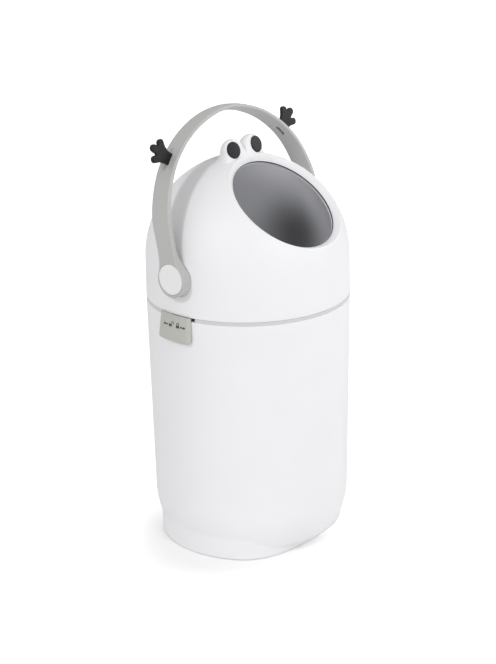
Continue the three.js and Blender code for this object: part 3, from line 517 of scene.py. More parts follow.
def bucket_column(oval):
    """A closed line of (radius, height): up the outside, down the inside and under the floor."""
    oval_in = oval - WALL
    start = PAD_STAND + FOOT_EDGE
    turns = spaced(0, math.pi / 2, 4)
    column = [(oval_in + FOOT_EDGE * (1 - math.cos(t)), start - FOOT_EDGE * math.sin(t)) for t in turns]
    column += [(oval - FOOT_EDGE * (1 - math.sin(t)), start - FOOT_EDGE * math.cos(t)) for t in turns]
    crease = crease_height(oval)
    before, after = crease - CREASE_NEAR, crease + CREASE_NEAR
    top = BUCKET_HEIGHT
    heights = spaced(start, before, 12)[:-1] + spaced(before, after, 24)[:-1]
    for z in heights + spaced(after, CREASE_TOP, 24):
        column.append((smooth_max(belly_radius(z), oval, CREASE_BLEND), z))
    column += [(belly_radius(z), z) for z in spaced(CREASE_TOP, top - RIM_EDGE, 40)[1:]]
    outer, inner = wall_radius(top), wall_radius(top) - WALL
    column += [(outer - RIM_CHAMFER, top - RIM_CHAMFER), (outer - RIM_EDGE, top)]
    column += [(inner + INNER_EDGE, top), (inner, top - INNER_EDGE)]
    column += [(wall_radius(z) - WALL, z) for z in spaced(top, BELLY_HEIGHT, 11)[1:]]
    belly = BELLY_RADIUS - WALL
    for t in spaced(0, math.asin((BELLY_HEIGHT - INNER_BELLY_LOW) / belly), 14)[1:]:
        column.append((BELLY_CENTRE + belly * math.cos(t), BELLY_HEIGHT - belly * math.sin(t)))
    corner = column[-1][0]
    column += [(corner - inwards, z) for inwards, z in INNER_CORNER]
    column += [(FLOOR_FLAT, FLOOR_TOP), (0, FLOOR_TOP), (0, FLOOR_HEIGHT), (FLOOR_FLAT, FLOOR_HEIGHT)]
    meet = FLOOR_HEIGHT
    while belly_radius(meet) < oval_in and meet < CREASE_TOP:
        meet += MEET_STEP
    column += [(min(belly_radius(z), oval_in), z) for z in spaced(FLOOR_HEIGHT, meet, 9)]
    return column + [(oval_in, z) for z in spaced(meet, start, 5)[1:-1]]


def bucket():
    return columns_mesh([[polar(r, a, z) for r, z in bucket_column(foot_radius(a))] for a in FINE_ANGLES])


mesh_object("bucket_shell", *bucket(), WHITE, "bin", "white_plastic", ["bucket"], crease=50)

# Seam band, with a leg inside the bucket and a clip on the leg's end.
BAND_INNER = BAND_OUTER - 7
LEG_LOW = BUCKET_HEIGHT - 10
LEG_OUTER = wall_radius(LEG_LOW) - WALL - 0.3
LEG_INNER = LEG_OUTER - 1.4
CLIP_INNER = LEG_OUTER - 5
CLIP_TOP = LEG_LOW + 2
band = mesh_object("seam_band", *revolve(fillet([
    (BAND_OUTER, BUCKET_HEIGHT, 0.3), (BAND_OUTER, BAND_TOP, 0.7), (BAND_INNER, BAND_TOP, 0.5),
    (BAND_INNER, BUCKET_HEIGHT, 0.2), (LEG_INNER, BUCKET_HEIGHT, 0.2), (LEG_INNER, CLIP_TOP, 0.3),
    (CLIP_INNER, CLIP_TOP, 0.3), (CLIP_INNER, LEG_LOW, 0.3), (LEG_OUTER, LEG_LOW, 0.3),
    (LEG_OUTER, BUCKET_HEIGHT, 0),
]), FINE_TURN), BAND, "bin", "band_grey", ["rim_band"], crease=32)


def sector(radii, turn, heights, edge=0.0):
    """A ring sector; its angles are degrees from -X towards -Y."""
    inner, outer = radii
    run = spaced(*(math.pi + math.radians(a) for a in turn), 12)
    outline = [polar(outer, t) for t in run] + [polar(inner, t) for t in reversed(run)]
    if edge:
        return plate(outline, *heights, edge, lambda x, y, h: Vector((x, y, h)))
    return rings_mesh([[Vector((p.x, p.y, h)) for p in outline] for h in heights])


SLOT_RADII = (128, 145)
SLOT_TURN = (-5.6, 10.7)
carve(band, [tool_object(*sector(SLOT_RADII, SLOT_TURN, (BUCKET_HEIGHT, BAND_TOP + 5)))], crease=32)

# Lock slider: a tab outside, a neck through the band and a bolt inside.
TAB_INNER = 140.8
TAB_MIDDLE = 145
TAB_LOW = 313
TAB_TOP = 349.15
TAB_OUT_TOP = 143
TAB_OUT_LOW = 148.3
TAB_START = math.radians(-14) * TAB_MIDDLE
TAB_END = math.radians(8.6) * TAB_MIDDLE
TAB_TIP = 0.02
TAB_CORNER = 4.5
TAB_TOP_CORNER = 1.2
TAB_SIDE = 3.4
TAB_TOP_SIDE = 1.8
TAB_SLANT = 4.2
TAB_SLANT_DEPTH = 0.9
TAB_HEM = 0.8
TAB_ROUND = 2.6
NECK = ((131.9, 142), (-5.2, 7.2), (344.7, 348))
BOLT = ((128.2, 133), (-5.2, 0.7), (343.2, 346.2))
LOCK_EDGE = 0.3


def tab_outer(z):
    """The tab is a wedge that stands out further at its bottom, where a finger pushes it."""
    share = (TAB_TOP - z) / (TAB_TOP - TAB_LOW)
    return TAB_OUT_TOP + (TAB_OUT_LOW - TAB_OUT_TOP) * share


def round_tab(length, radius, z):
    """A point of the tab; length is measured round it from -X towards -Y."""
    return polar(radius, math.pi + length / TAB_MIDDLE, z)


def rounded_off(distance, size):
    """How far a corner of the given radius lies in from the end, at a distance from that end."""
    if distance >= size:
        return 0
    return size - math.sqrt(size ** 2 - (size - distance) ** 2)


def lock_tab():
    """Upright sections along the rim, whose corners and depth run off at both ends."""
    span = TAB_END - TAB_START
    near = [TAB_CORNER * (1 - math.cos(t)) for t in spaced(0, math.pi / 2, 8)[1:]]
    places = [TAB_TIP] + near + spaced(TAB_CORNER, span - TAB_CORNER, 30)[1:-1]
    places += [span - d for d in reversed(near)] + [span - TAB_TIP]
    rings = []
    for place in places:
        distance = min(place, span - place)
        low = TAB_LOW + rounded_off(distance, TAB_CORNER)
        top = TAB_TOP - rounded_off(distance, TAB_TOP_CORNER)
        slanted = max(TAB_SLANT - (span - place), 0) * TAB_SLANT_DEPTH
        thinner = max(rounded_off(distance, TAB_SIDE), slanted)
        section = fillet([
            (TAB_INNER, low, 0.4), (tab_outer(low) - thinner, low + TAB_HEM, TAB_ROUND),
            (tab_outer(top) - min(thinner, TAB_TOP_SIDE), top, 0.4), (TAB_INNER, top, 0.3)], 6)
        rings.append([round_tab(TAB_START + place, p.x, p.y) for p in section])
    return rings_mesh(rings)


mesh_object("lock_tab", *joined(lock_tab(), sector(*NECK, LOCK_EDGE), sector(*BOLT, LOCK_EDGE)),
            TAB, "lock", "tab_grey", ["lock_slider"], crease=32)

# Marks on the tab: an open and a shut padlock, each with an arrow.
MARK_HEIGHT = 335.6
MARK_LEVELS = (-0.2, 0.35)
MARK_EDGE = 0.15
PADLOCK_HALF = 2.6
PADLOCK_LOW = -2.3
PADLOCK_TOP = 1.2
BOW_REACH = 1.8
BOW_HALF = 0.45
BOW_MIDDLE = 2.7
BOW_EDGE = 0.12
ARROW_HALF = 0.75
ARROW_HEAD = 2.1
ARROW_HEAD_LENGTH = 3
ARROW_DROP = 0.4


def arrow(start, end):
    """The outline of an arrow that points from start to end, both measured round the tab."""
    way = 1 if end > start else -1
    neck = end - way * ARROW_HEAD_LENGTH
    corners = [(start, -ARROW_HALF, 0.2), (neck, -ARROW_HALF, 0.1), (neck, -ARROW_HEAD, 0.3),
               (end, 0, 0.3), (neck, ARROW_HEAD, 0.3), (neck, ARROW_HALF, 0.1), (start, ARROW_HALF, 0.2)]
    outline = fillet(corners if way > 0 else corners[::-1], 3)
    return dense(outline, 0.8)


def bow_edge(radius, open_by):
    """One edge of a padlock's bow, from its fixed foot over the top to its other end."""
    points = [(radius, PADLOCK_TOP)]
    points += [(radius * math.cos(a), BOW_MIDDLE + radius * math.sin(a)) for a in spaced(0, math.pi, 12)]
    return [Vector(p) for p in points + [(-radius, PADLOCK_TOP + open_by)]]


def lock_mark(name, middle, open_by, start, end):
    """A raised padlock sign, its bow shut or turned aside with a gap of open_by, and an arrow."""

    def move(x, y, h):
        z = MARK_HEIGHT + y
        return round_tab(middle + x, tab_outer(z) + h, z)

    def beside(x, y, h):
        return move(x - middle, y - ARROW_DROP, h)

    def turned(x, y, h):
        return move(x + (BOW_REACH * 2 if open_by else 0), y, h)

    corners = rectangle(-PADLOCK_HALF, PADLOCK_HALF, PADLOCK_LOW, PADLOCK_TOP)
    body = dense(fillet([(x, y, 0.5) for x, y in corners]), 0.7)
    bow = bow_edge(BOW_REACH + BOW_HALF, open_by) + bow_edge(BOW_REACH - BOW_HALF, open_by)[::-1]
    mesh_object(name, *joined(
        plate(body, *MARK_LEVELS, MARK_EDGE, move, 2),
        plate(bow, *MARK_LEVELS, BOW_EDGE, turned, 2),
        plate(arrow(start, end), *MARK_LEVELS, MARK_EDGE, beside, 2),
    ), MARK, "lock", "tab_grey", crease=32)


lock_mark("lock_mark_open", -11.5, 0.9, -15.8, -25.2)
lock_mark("lock_mark_shut", 1.8, 0, 6, 15)

# Dome.
CENTRE = Vector((0, 0, AXIS_HEIGHT))
MOUTH = Matrix.Translation(CENTRE) @ Matrix.Rotation(math.pi / 2 - MOUTH_ELEVATION, 4, "X")
MOUTH_AXIS = Vector((0, -math.cos(MOUTH_ELEVATION), math.sin(MOUTH_ELEVATION)))
MOUTH_UP = Vector((0, math.sin(MOUTH_ELEVATION), math.cos(MOUTH_ELEVATION)))
ROLL_RADIUS = MOUTH_RADIUS + RIM_ROLL
ROLL_HEIGHT = math.sqrt((DOME_RADIUS - RIM_ROLL) ** 2 - ROLL_RADIUS ** 2)
ROLL_ANGLE = math.asin(ROLL_RADIUS / (DOME_RADIUS - RIM_ROLL))
LIP_HEIGHT = math.sqrt((DRUM_RADIUS + 1.2) ** 2 - MOUTH_RADIUS ** 2)
LIP_EDGE = 0.4
RING_EDGE = 1.1
RING_SWELL = 0.9
RING_END = ROLL_ANGLE + RING_EDGE / DOME_RADIUS
SKIRT_DROP = AXIS_HEIGHT - LID_BOTTOM
SKIRT_FLARE = 0.6
SKIRT_INNER = SEAM_RADIUS - WALL
INNER_START = ROLL_ANGLE + math.radians(1.2)
NECK_OUTER = MOUTH_RADIUS + 2.5


def mouth_ring():
    """The slanted ring round the mouth, from its lip to its crisp outer edge, where the dome starts."""
    start = Vector((MOUTH_RADIUS, LIP_HEIGHT + 0.9))
    end = Vector(ball(DOME_RADIUS, ROLL_ANGLE))
    slope = (end - start).normalized()
    swell = Vector((-slope.y, slope.x)) * RING_SWELL
    rise = end - slope * RING_EDGE
    middle = start.lerp(rise, 0.5) + swell
    far = Vector(ball(DOME_RADIUS, RING_END))
    points = [start] + [bend(t, start, middle, rise) for t in spaced(0, 1, 8)[1:]]
    return points + [bend(t, rise, end, far) for t in spaced(0, 1, 5)[1:-1]]


def dome_column(a):
    """A closed line: from the lip over the dome and down the skirt, then back up inside."""
    side = Vector((1, 0, 0)) * math.cos(a) + MOUTH_UP * math.sin(a)
    end = math.atan2(MOUTH_AXIS.z, -side.z)
    outside = [(MOUTH_RADIUS + LIP_EDGE, LIP_HEIGHT), (MOUTH_RADIUS, LIP_HEIGHT + LIP_EDGE)]
    outside += mouth_ring() + [ball(DOME_RADIUS, t) for t in spaced(RING_END, end, 96)]
    inside = [ball(DOME_RADIUS - WALL, t) for t in spaced(end, INNER_START, 40)[1:]]
    inside += [(NECK_OUTER + 1.4, ROLL_HEIGHT - 1.1), (NECK_OUTER, ROLL_HEIGHT - 2.5)]
    inside += [(NECK_OUTER, LIP_HEIGHT + LIP_EDGE), (NECK_OUTER - LIP_EDGE, LIP_HEIGHT)]
    skirt = []
    for share in spaced(0, 1, 12)[1:]:
        skirt.append((DOME_RADIUS + SKIRT_FLARE * share, AXIS_HEIGHT - (SKIRT_DROP - SKIRT_FLARE) * share))
    for t in spaced(0, math.pi / 2, 3)[1:]:
        rounding, rise = SKIRT_FLARE * (1 - math.cos(t)), SKIRT_FLARE * (1 - math.sin(t))
        skirt.append((SEAM_RADIUS - rounding, LID_BOTTOM + rise))
    skirt += [(SKIRT_INNER + LIP_EDGE, LID_BOTTOM), (SKIRT_INNER, LID_BOTTOM + LIP_EDGE)]
    for share in spaced(0, 1, 6)[1:]:
        skirt.append((SKIRT_INNER - SKIRT_FLARE * share, LID_BOTTOM + SKIRT_DROP * share))

    def placed(line):
        return [CENTRE + side * r + MOUTH_AXIS * h for r, h in line]

    column = placed(outside)
    out = (column[-1] - CENTRE).normalized()
    column += [Vector((out.x * r, out.y * r, z)) for r, z in skirt]
    return column + placed(inside)


def dome():
    return columns_mesh([dome_column(a) for a in FINE_ANGLES])


# The wiper's radii and its heights along the mouth's axis.
WIPER_INNER, WIPER_NECK, WIPER_OUTER = 78.5, 80.3, 84.4
WIPER_LOW, WIPER_LIP, WIPER_STEP, WIPER_TOP = 98.9, 100.3, 102.25, 104.85
mesh_object("mouth_wiper", *revolve(fillet([
    (WIPER_INNER, WIPER_LIP, 0.2), (WIPER_INNER, WIPER_TOP, 0.4), (WIPER_OUTER, WIPER_TOP, 0.4),
    (WIPER_OUTER, WIPER_STEP, 0.4), (WIPER_NECK, WIPER_STEP, 0.3), (WIPER_NECK, WIPER_LOW, 0.2),
]), 192, MOUTH), RUBBER, "lid", "rubber", ["mouth_seal"], crease=50)

# Hub bosses on the dome.
BORE_RADIUS = 15.5
BORE_START = 120
RECESS_RADIUS = 25
RECESS_FLOOR = BOSS_FACE - 0.1
RECESS_END = 150
BOSS_FLARE = 31.4
BOSS_TOP = 24.2
BOSS_TURN_IN = 0.6
BOSS_EDGE = 0.5
BOSS_BACK = 131


def about_x(side):
    return Matrix.Translation(CENTRE) @ Matrix.Rotation(side * math.pi / 2, 4, "Y")


dome_shell = mesh_object("dome_shell", *dome(), WHITE, "lid", "white_plastic", ["lid_dome"], crease=50)
recess = stepped((BORE_RADIUS, BORE_START, RECESS_FLOOR), (RECESS_RADIUS, RECESS_FLOOR, RECESS_END))
carve(dome_shell, [tool_object(*revolve(recess, 64, about_x(side))) for side, _ in SIDES], crease=50)


def flare_heights(radius, flare, corner):
    """Where a flare meets a ball, and the height at corner on the ball's tangent there."""
    foot = math.sqrt(radius ** 2 - flare ** 2)
    return foot, foot - flare / foot * (corner - flare)


def hub_boss(side):
    """The flared ring that the handle's hub runs on, tangent to the dome."""
    corner = BOSS_TOP + BOSS_TURN_IN
    foot, corner_height = flare_heights(DOME_RADIUS, BOSS_FLARE, corner)
    profile = []
    for t in spaced(0, 1, 10):
        height = bend(t, foot, corner_height, BOSS_FACE - 0.4)
        profile.append((bend(t, BOSS_FLARE, corner, BOSS_TOP), height))
    profile += [(BOSS_TOP - 0.15, BOSS_FACE - 0.12), (BOSS_TOP - BOSS_EDGE, BOSS_FACE)]
    profile += [(BUSH_RADIUS, BOSS_FACE), (BUSH_RADIUS, BUSH_SEAT)]
    profile += [(BORE_RADIUS, BUSH_SEAT), (BORE_RADIUS, BOSS_BACK), (BOSS_FLARE - 1, BOSS_BACK)]
    return revolve(profile, 128, about_x(side))


for side, word in SIDES:
    mesh_object("hub_boss_" + word, *hub_boss(side), WHITE, "lid", "white_plastic")

# Eyes.
EYE_OFFSET, EYE_BACK, EYE_HEIGHT = 18.6, 6, 145.8
EYE_RADIUS = 17
EYE_BALL_END = math.radians(80)
EYE_BASE = 20.6
EYE_FILLET = 4
EYE_TURN_IN = 1.2
EYE_SINK = 2
EYE_SOFTNESS = 3.6
PUPIL_RADIUS = 11.2
PUPIL_OFFSET, PUPIL_BACK, PUPIL_HEIGHT = 22.9, 0.6, 149
PUPIL_SPLAY, PUPIL_RISE = math.radians(4.7), math.radians(19.3)
PUPIL_LOW = -1.4
PUPIL_TOP = 0.75
PUPIL_DOME = 0.35
PUPIL_PLAY = 0.3
WELL_LOW = -1.7
WELL_TOP = 5


def basis(place, out, hint=Vector((0, 0, 1))):
    """A matrix whose Z points along out, with its origin at place."""
    z = out.normalized()
    x = hint.cross(z).normalized()
    y = z.cross(x)
    return Matrix.Translation(place) @ Matrix((x, y, z)).transposed().to_4x4()


def pupil_frame(side):
    level = math.cos(PUPIL_SPLAY)
    out = (side * math.sin(PUPIL_SPLAY), -level * math.cos(PUPIL_RISE), level * math.sin(PUPIL_RISE))
    return basis(CENTRE + Vector((side * PUPIL_OFFSET, PUPIL_BACK, PUPIL_HEIGHT)), Vector(out))


def eye(side):
    """A ball on a short flared neck, flattened softly where the pupil sits."""
    centre = Vector((side * EYE_OFFSET, EYE_BACK, EYE_HEIGHT))
    far = centre.length
    place = Matrix.Translation(CENTRE) @ basis(Vector((0, 0, 0)), centre, Vector((0, 1, 0)))
    profile = [(0, far + EYE_RADIUS)]
    for t in spaced(0, EYE_BALL_END, 40)[1:]:
        r, h = ball(EYE_RADIUS, t)
        profile.append((r, far + h))
    low_radius, low_height = profile[-1]
    flare = EYE_BASE + EYE_FILLET
    corner = EYE_BASE - EYE_TURN_IN
    foot, corner_height = flare_heights(DOME_RADIUS + 0.02, flare, corner)
    for t in spaced(0, 1, 14)[1:]:
        profile.append((bend(t, low_radius, corner, flare), bend(t, low_height, corner_height, foot)))
    profile += [(flare + 0.4, foot - 0.6), (flare - EYE_SINK, foot - EYE_SINK), (0, foot - EYE_SINK)]
    points, faces = revolve(profile, 160, place)
    face = pupil_frame(side)
    back = face.inverted()
    flat = []
    for p in points:
        local = back @ p
        local.z = (local.z - math.hypot(local.z, EYE_SOFTNESS)) / 2
        flat.append(face @ local)
    return flat, faces


def pupil_disc(face):
    """A disc with a rounded edge and a slightly domed face."""
    rim = fillet([(0, PUPIL_LOW, 0), (PUPIL_RADIUS, PUPIL_LOW, 0.3), (PUPIL_RADIUS, PUPIL_TOP, 0.5)])
    dish = [(PUPIL_RADIUS * 0.93 * share, PUPIL_TOP + 0.05 + PUPIL_DOME * (1 - share ** 2))
            for share in spaced(1, 0, 10)]
    return revolve(rim[:-1] + dish, 96, face)


for side, word in SIDES:
    eye_bump = mesh_object("eye_" + word, *eye(side), WHITE, "lid", "white_plastic")
    face = pupil_frame(side)
    well = stepped((PUPIL_RADIUS + PUPIL_PLAY, WELL_LOW, WELL_TOP))
    carve(eye_bump, [tool_object(*revolve(well, 96, face))])
    mesh_object("pupil_disc_" + word, *pupil_disc(face), BLACK, "lid", "black_plastic",
                ["pupil_" + word], crease=60)

# Drum.
DRUM_INNER = DRUM_RADIUS - DRUM_WALL
DRUM_EDGE = 0.5
DRUM_CHAMFER = 0.12
LIP_TURN = math.radians(0.3)
HALF_GAP = 0.15
STUB_BORE, STUB_RADIUS, STUB_FLANGE = 3, 11, 15
STUB_START, STUB_STEP, STUB_END = 125, 131.5, 141.6


def drum():
    """The whole drum: a ball with a round mouth."""
    edge, edge_in = math.asin(DRUM_MOUTH / DRUM_RADIUS), math.asin(DRUM_MOUTH / DRUM_INNER)
    high, low = DRUM_RADIUS * math.cos(edge), DRUM_INNER * math.cos(edge_in)
    profile = [(0, -DRUM_RADIUS)]
    profile += [ball(DRUM_RADIUS, t) for t in spaced(math.pi, edge + LIP_TURN, 72)[1:]]
    profile += [(DRUM_MOUTH + DRUM_CHAMFER, high - DRUM_CHAMFER), (DRUM_MOUTH, high - DRUM_EDGE)]
    profile += [(DRUM_MOUTH, low + DRUM_EDGE)]
    profile += [ball(DRUM_INNER, t) for t in spaced(edge_in + LIP_TURN, math.pi, 72)[1:]]
    return revolve(profile, 192, MOUTH)


def half_drum(side):
    """The drum's points and faces on one side, closed where the halves meet."""
    mesh = bpy.data.meshes.new("half")
    points, faces = drum()
    mesh.from_pydata([Vector(p) * MM for p in points], [], faces)
    bm = bmesh.new()
    bm.from_mesh(mesh)
    bmesh.ops.remove_doubles(bm, verts=bm.verts, dist=MERGE_GAP)
    cut = bmesh.ops.bisect_plane(
        bm, geom=bm.verts[:] + bm.edges[:] + bm.faces[:], plane_co=(side * HALF_GAP * MM, 0, 0),
        plane_no=(-side, 0, 0), clear_outer=True)
    edges = [e for e in cut["geom_cut"] if isinstance(e, bmesh.types.BMEdge)]
    bmesh.ops.triangle_fill(bm, edges=edges, use_beauty=True)
    bmesh.ops.recalc_face_normals(bm, faces=bm.faces)
    points = [v.co / MM for v in bm.verts]
    faces = [[v.index for v in f.verts] for f in bm.faces]
    bm.free()
    bpy.data.meshes.remove(mesh)
    return points, faces


def drum_stub(side):
    """The stub that plugs into the handle's spigot."""
    return revolve(fillet([
        (STUB_BORE, STUB_START, 0), (STUB_FLANGE, STUB_START, 0), (STUB_FLANGE, STUB_STEP, 0.4),
        (STUB_RADIUS, STUB_STEP, 0.3), (STUB_RADIUS, STUB_END, 0.3), (STUB_BORE, STUB_END, 0),
    ]), 64, about_x(side))


for side, word in SIDES:
    mesh_object("drum_half_" + word, *joined(half_drum(side), drum_stub(side)), DRUM, "handle_drum",
                "drum_grey", ["drum_" + word])

# Handle.
UPRIGHT = Matrix.Translation(CENTRE) @ Matrix.Rotation(-HANDLE_TILT, 4, "X")
FOOT_DROP = 26


def between(p, q, start, end, u):
    """The point at u on the line through p at start and q at end."""
    return p * ((end - u) / (end - start)) + q * ((u - start) / (end - start))


def catmull(points, share_count):
    """A centripetal Catmull-Rom curve through points, as a fine polyline."""
    ends = [points[0] * 2 - points[1]] + list(points) + [points[-1] * 2 - points[-2]]
    line = []
    for p0, p1, p2, p3 in zip(ends, ends[1:], ends[2:], ends[3:]):
        t = [0.0]
        for a, b in ((p0, p1), (p1, p2), (p2, p3)):
            t.append(t[-1] + math.sqrt((b - a).length))
        for u in spaced(t[1], t[2], share_count)[:-1]:
            a1 = between(p0, p1, t[0], t[1], u)
            a2 = between(p1, p2, t[1], t[2], u)
            a3 = between(p2, p3, t[2], t[3], u)
            b1 = between(a1, a2, t[0], t[2], u)
            b2 = between(a2, a3, t[1], t[3], u)
            line.append(between(b1, b2, t[1], t[2], u))
    line.append(points[-1])
    return line


# The arch's outline up to the crown, as shares of its half width and height.
ARCH_SHARES = ((1, 0.209), (0.977, 0.446), (0.797, 0.713), (0.457, 0.913), (0, 1))
ARCH_HALF = [(-HUB_FACE, -FOOT_DROP), (-HUB_FACE, -8), (-HUB_FACE, 13)]
ARCH_HALF += [(-x * ARCH_HALF_WIDTH, h * ARCH_HEIGHT) for x, h in ARCH_SHARES]
ARCH_POINTS = [Vector(p) for p in ARCH_HALF] + [Vector((-x, h)) for x, h in reversed(ARCH_HALF[:-1])]


class Arch:
    """The outer face's middle line, measured along its length from the left hub's axis."""

    def __init__(self):
        self.line = catmull(ARCH_POINTS, 40)
        self.length = [0.0]
        for a, b in zip(self.line, self.line[1:]):
            self.length.append(self.length[-1] + (b - a).length)
        self.total = self.length[-1] - FOOT_DROP * 2

    def frame(self, along):
        """(point, direction along, direction out) at a length from the left hub's axis."""
        want = min(max(along + FOOT_DROP, 0), self.length[-1] - 1e-6)
        high = bisect.bisect_right(self.length, want)
        low = high - 1
        share = (want - self.length[low]) / (self.length[high] - self.length[low])
        before = self.line[max(low - 1, 0)]
        after = self.line[min(high + 1, len(self.line) - 1)]
        near, far = self.line[low], self.line[high]
        t0 = (far - before).normalized()
        t1 = (after - near).normalized()
        direction = t0.lerp(t1, share).normalized()
        return near.lerp(far, share), direction, Vector((-direction.y, direction.x))


ARCH = Arch()
# Half the band's width, as (share of the way up to the crown, half width).
WIDTHS = [(0.3, 15.18), (0.7, 14.77), (1, 16.17)]
LEAVE = HUB_RADIUS / 2
FAIR_START = 6
THIN_END = 190
GRIP_SWELL = 2
GRIP_START, GRIP_FULL = 0.62, 0.92
BAND_EDGE = 1.5
# Where the band's faces have points, as shares of its half width.
SHARES = [-1, -0.9, -0.75, -0.5, -0.25, 0, 0.25, 0.5, 0.75, 0.9, 1]


def hermite(x, x0, y0, m0, x1, y1, m1):
    """Height at x of a curve from (x0, y0), slope m0, to (x1, y1), slope m1."""
    w = x1 - x0
    t = (x - x0) / w
    return ((2 * t ** 3 - 3 * t ** 2 + 1) * y0 + (t ** 3 - 2 * t ** 2 + t) * w * m0
            + (-2 * t ** 3 + 3 * t ** 2) * y1 + (t ** 3 - t ** 2) * w * m1)


def half_width(climb):
    """Half the band's width at a length from the nearer hub's axis."""
    if climb <= LEAVE:
        return math.sqrt(max(HUB_RADIUS ** 2 - climb ** 2, 0))
    if climb < LEG_REACH:
        start = math.sqrt(HUB_RADIUS ** 2 - LEAVE ** 2)
        return hermite(climb, LEAVE, start, -LEAVE / start, LEG_REACH, LEG_HALF_WIDTH, 0)
    below, width = LEG_REACH, LEG_HALF_WIDTH
    for share, next_width in WIDTHS:
        above = share * (ARCH.total / 2)
        if climb <= above or share == 1:
            return width + (next_width - width) * smooth_step(climb, below, above)
        below, width = above, next_width


def thickness(climb):
    """The fairing: as deep as the hub at its axis, thinning out up the leg."""
    deep = HUB_FACE - HUB_INNER
    faired, thinned = smooth_step(climb, FAIR_START, LEG_REACH), smooth_step(climb, LEG_REACH, THIN_END)
    return deep - (deep - LEG_THICKNESS) * faired - (LEG_THICKNESS - BAND_THICKNESS) * thinned


def grip_swell(climb, share):
    """The grip at the arch's top is oval: its middle stands out on both faces."""
    half = ARCH.total / 2
    return GRIP_SWELL * smooth_step(climb, half * GRIP_START, half * GRIP_FULL) * (1 - share * share)


def handle():
    """Rings across the band, which close round each hub as the outline of a keyhole."""
    edge = BAND_EDGE
    outline = [Vector(ball(HUB_RADIUS, math.radians(a))) for a in spaced(-90, 30, 48)[1:]]
    outline += [Vector((climb, half_width(climb))) for climb in spaced(LEAVE, ARCH.total / 2, 190)[1:]]
    normals = []
    for i, p in enumerate(outline):
        ahead = outline[min(i + 1, len(outline) - 1)]
        behind = outline[i - 1] if i else Vector((-HUB_RADIUS, 0))
        along = (ahead - behind).normalized()
        normals.append(Vector((-along.y, along.x)))
    normals[-1] = Vector((0, 1))
    turns = spaced(0, math.pi / 2, 5)

    def ring(p, n):
        """Points round the section: over the outer face, down one side, back and up the other."""
        deep = thickness(p.x)
        face = p - n * edge
        outer = [(face.x, face.y * s, -grip_swell(p.x, s)) for s in SHARES]
        inner = [(face.x, face.y * s, deep + grip_swell(p.x, s)) for s in reversed(SHARES[:-1])]
        side = []
        for a in turns[1:]:
            q = p - n * (edge * (1 - math.sin(a)))
            side.append((q.x, q.y, edge * (1 - math.cos(a))))
        side += [(p.x, p.y, d) for d in spaced(edge, deep - edge, 4)[1:-1]]
        for a in turns:
            q = p - n * (edge * (1 - math.cos(a)))
            side.append((q.x, q.y, deep - edge * (1 - math.sin(a))))
        return outer + side + inner + [(x, -y, d) for x, y, d in side[-2::-1]]

    rings = []
    halves = [ring(p, n) for p, n in zip(outline, normals)]
    for points in halves:
        rings.append([band_point(x, y, d) for x, y, d in points])
    for points in reversed(halves[:-1]):
        rings.append([band_point(ARCH.total - x, y, d) for x, y, d in points])
    return rings_mesh(rings)


def band_point(along, across, deep):
    """A point of the handle by its length along the arch, its place across and its depth."""
    place, _, out = ARCH.frame(along)
    flat = place - out * deep
    return UPRIGHT @ Vector((flat.x, across, flat.y))


handle_band = mesh_object("handle_band", *handle(), HANDLE, "handle_drum", "handle_grey", ["handle"])

# Hub wells and caps, with depths along the hub's axis.
WELL_FLOOR = 151.2
WELL_PLAY = 0.3
WELL_CHAMFER = 0.8
CUT_END = 160
SPIGOT_START = 130
SPIGOT_FLOOR = 141.8
SCREW_BORE = 11.2
SCREW_SEAT = 147
PLUG_END, PLUG_RADIUS = 149, 16
CAP_UNDER = 151.5
CAP_TOP = HUB_FACE - 0.15
CAP_EDGE = 0.6


def about_hub(side, rise=0):
    """Z points out of a hub; rise moves the origin up the leg."""
    return UPRIGHT @ Matrix.Translation((0, 0, rise)) @ Matrix.Rotation(side * math.pi / 2, 4, "Y")


def hub_wells(side):
    """The well for the cap and the bore for the bush and the drum's stub."""
    cap_well = stepped((CAP_RADIUS + WELL_PLAY, WELL_FLOOR, HUB_FACE - 0.35),
                       (CAP_RADIUS + WELL_CHAMFER, HUB_FACE + 0.15, CUT_END))
    spigot = stepped((BUSH_RADIUS + WELL_PLAY, SPIGOT_START, SPIGOT_FLOOR),
                     (SCREW_BORE, SPIGOT_FLOOR, SCREW_SEAT))
    return [tool_object(*revolve(cap_well, 128, about_hub(side, CAP_RISE))),
            tool_object(*revolve(spigot, 64, about_hub(side)))]


carve(handle_band, hub_wells(-1) + hub_wells(1))

for side, word in SIDES:
    profile = [(0, PLUG_END), (14.4, PLUG_END), (PLUG_RADIUS, PLUG_END), (PLUG_RADIUS, CAP_UNDER),
               (CAP_RADIUS, CAP_UNDER)]
    for a in spaced(0, math.pi / 2, 4):
        profile.append((CAP_RADIUS - CAP_EDGE * (1 - math.cos(a)), CAP_TOP - CAP_EDGE * (1 - math.sin(a))))
    profile += [(CAP_RADIUS * 0.7, CAP_TOP), (CAP_RADIUS * 0.35, CAP_TOP), (0, CAP_TOP)]
    mesh_object("cap_" + word, *revolve(profile, 128, about_hub(side, CAP_RISE)), CAP, "handle_drum",
                "cap_plastic", ["hub_cap_" + word])

# Hands, as (out of the band, along it) from the root.
HAND_PLACE = 0.2805
HAND_HALF = 2.5
HAND_EDGE = 0.9
FINGER_RADIUS = 4.5
FINGERS = [(24, 10.4), (30.8, -3), (22.2, -14.8)]
NOTCHES = [(25.4, 4.1), (22, -7.2)]
FINGER_ROOT = 7
TONGUE_START, TONGUE_END = -1.2, 3
TONGUE_HALF_WIDTH = 8.4
TONGUE_HALF = 1.5
SLOT_START, SLOT_END = -9, 2
SLOT_HALF_WIDTH = 8.8
SLOT_HALF = 2.7


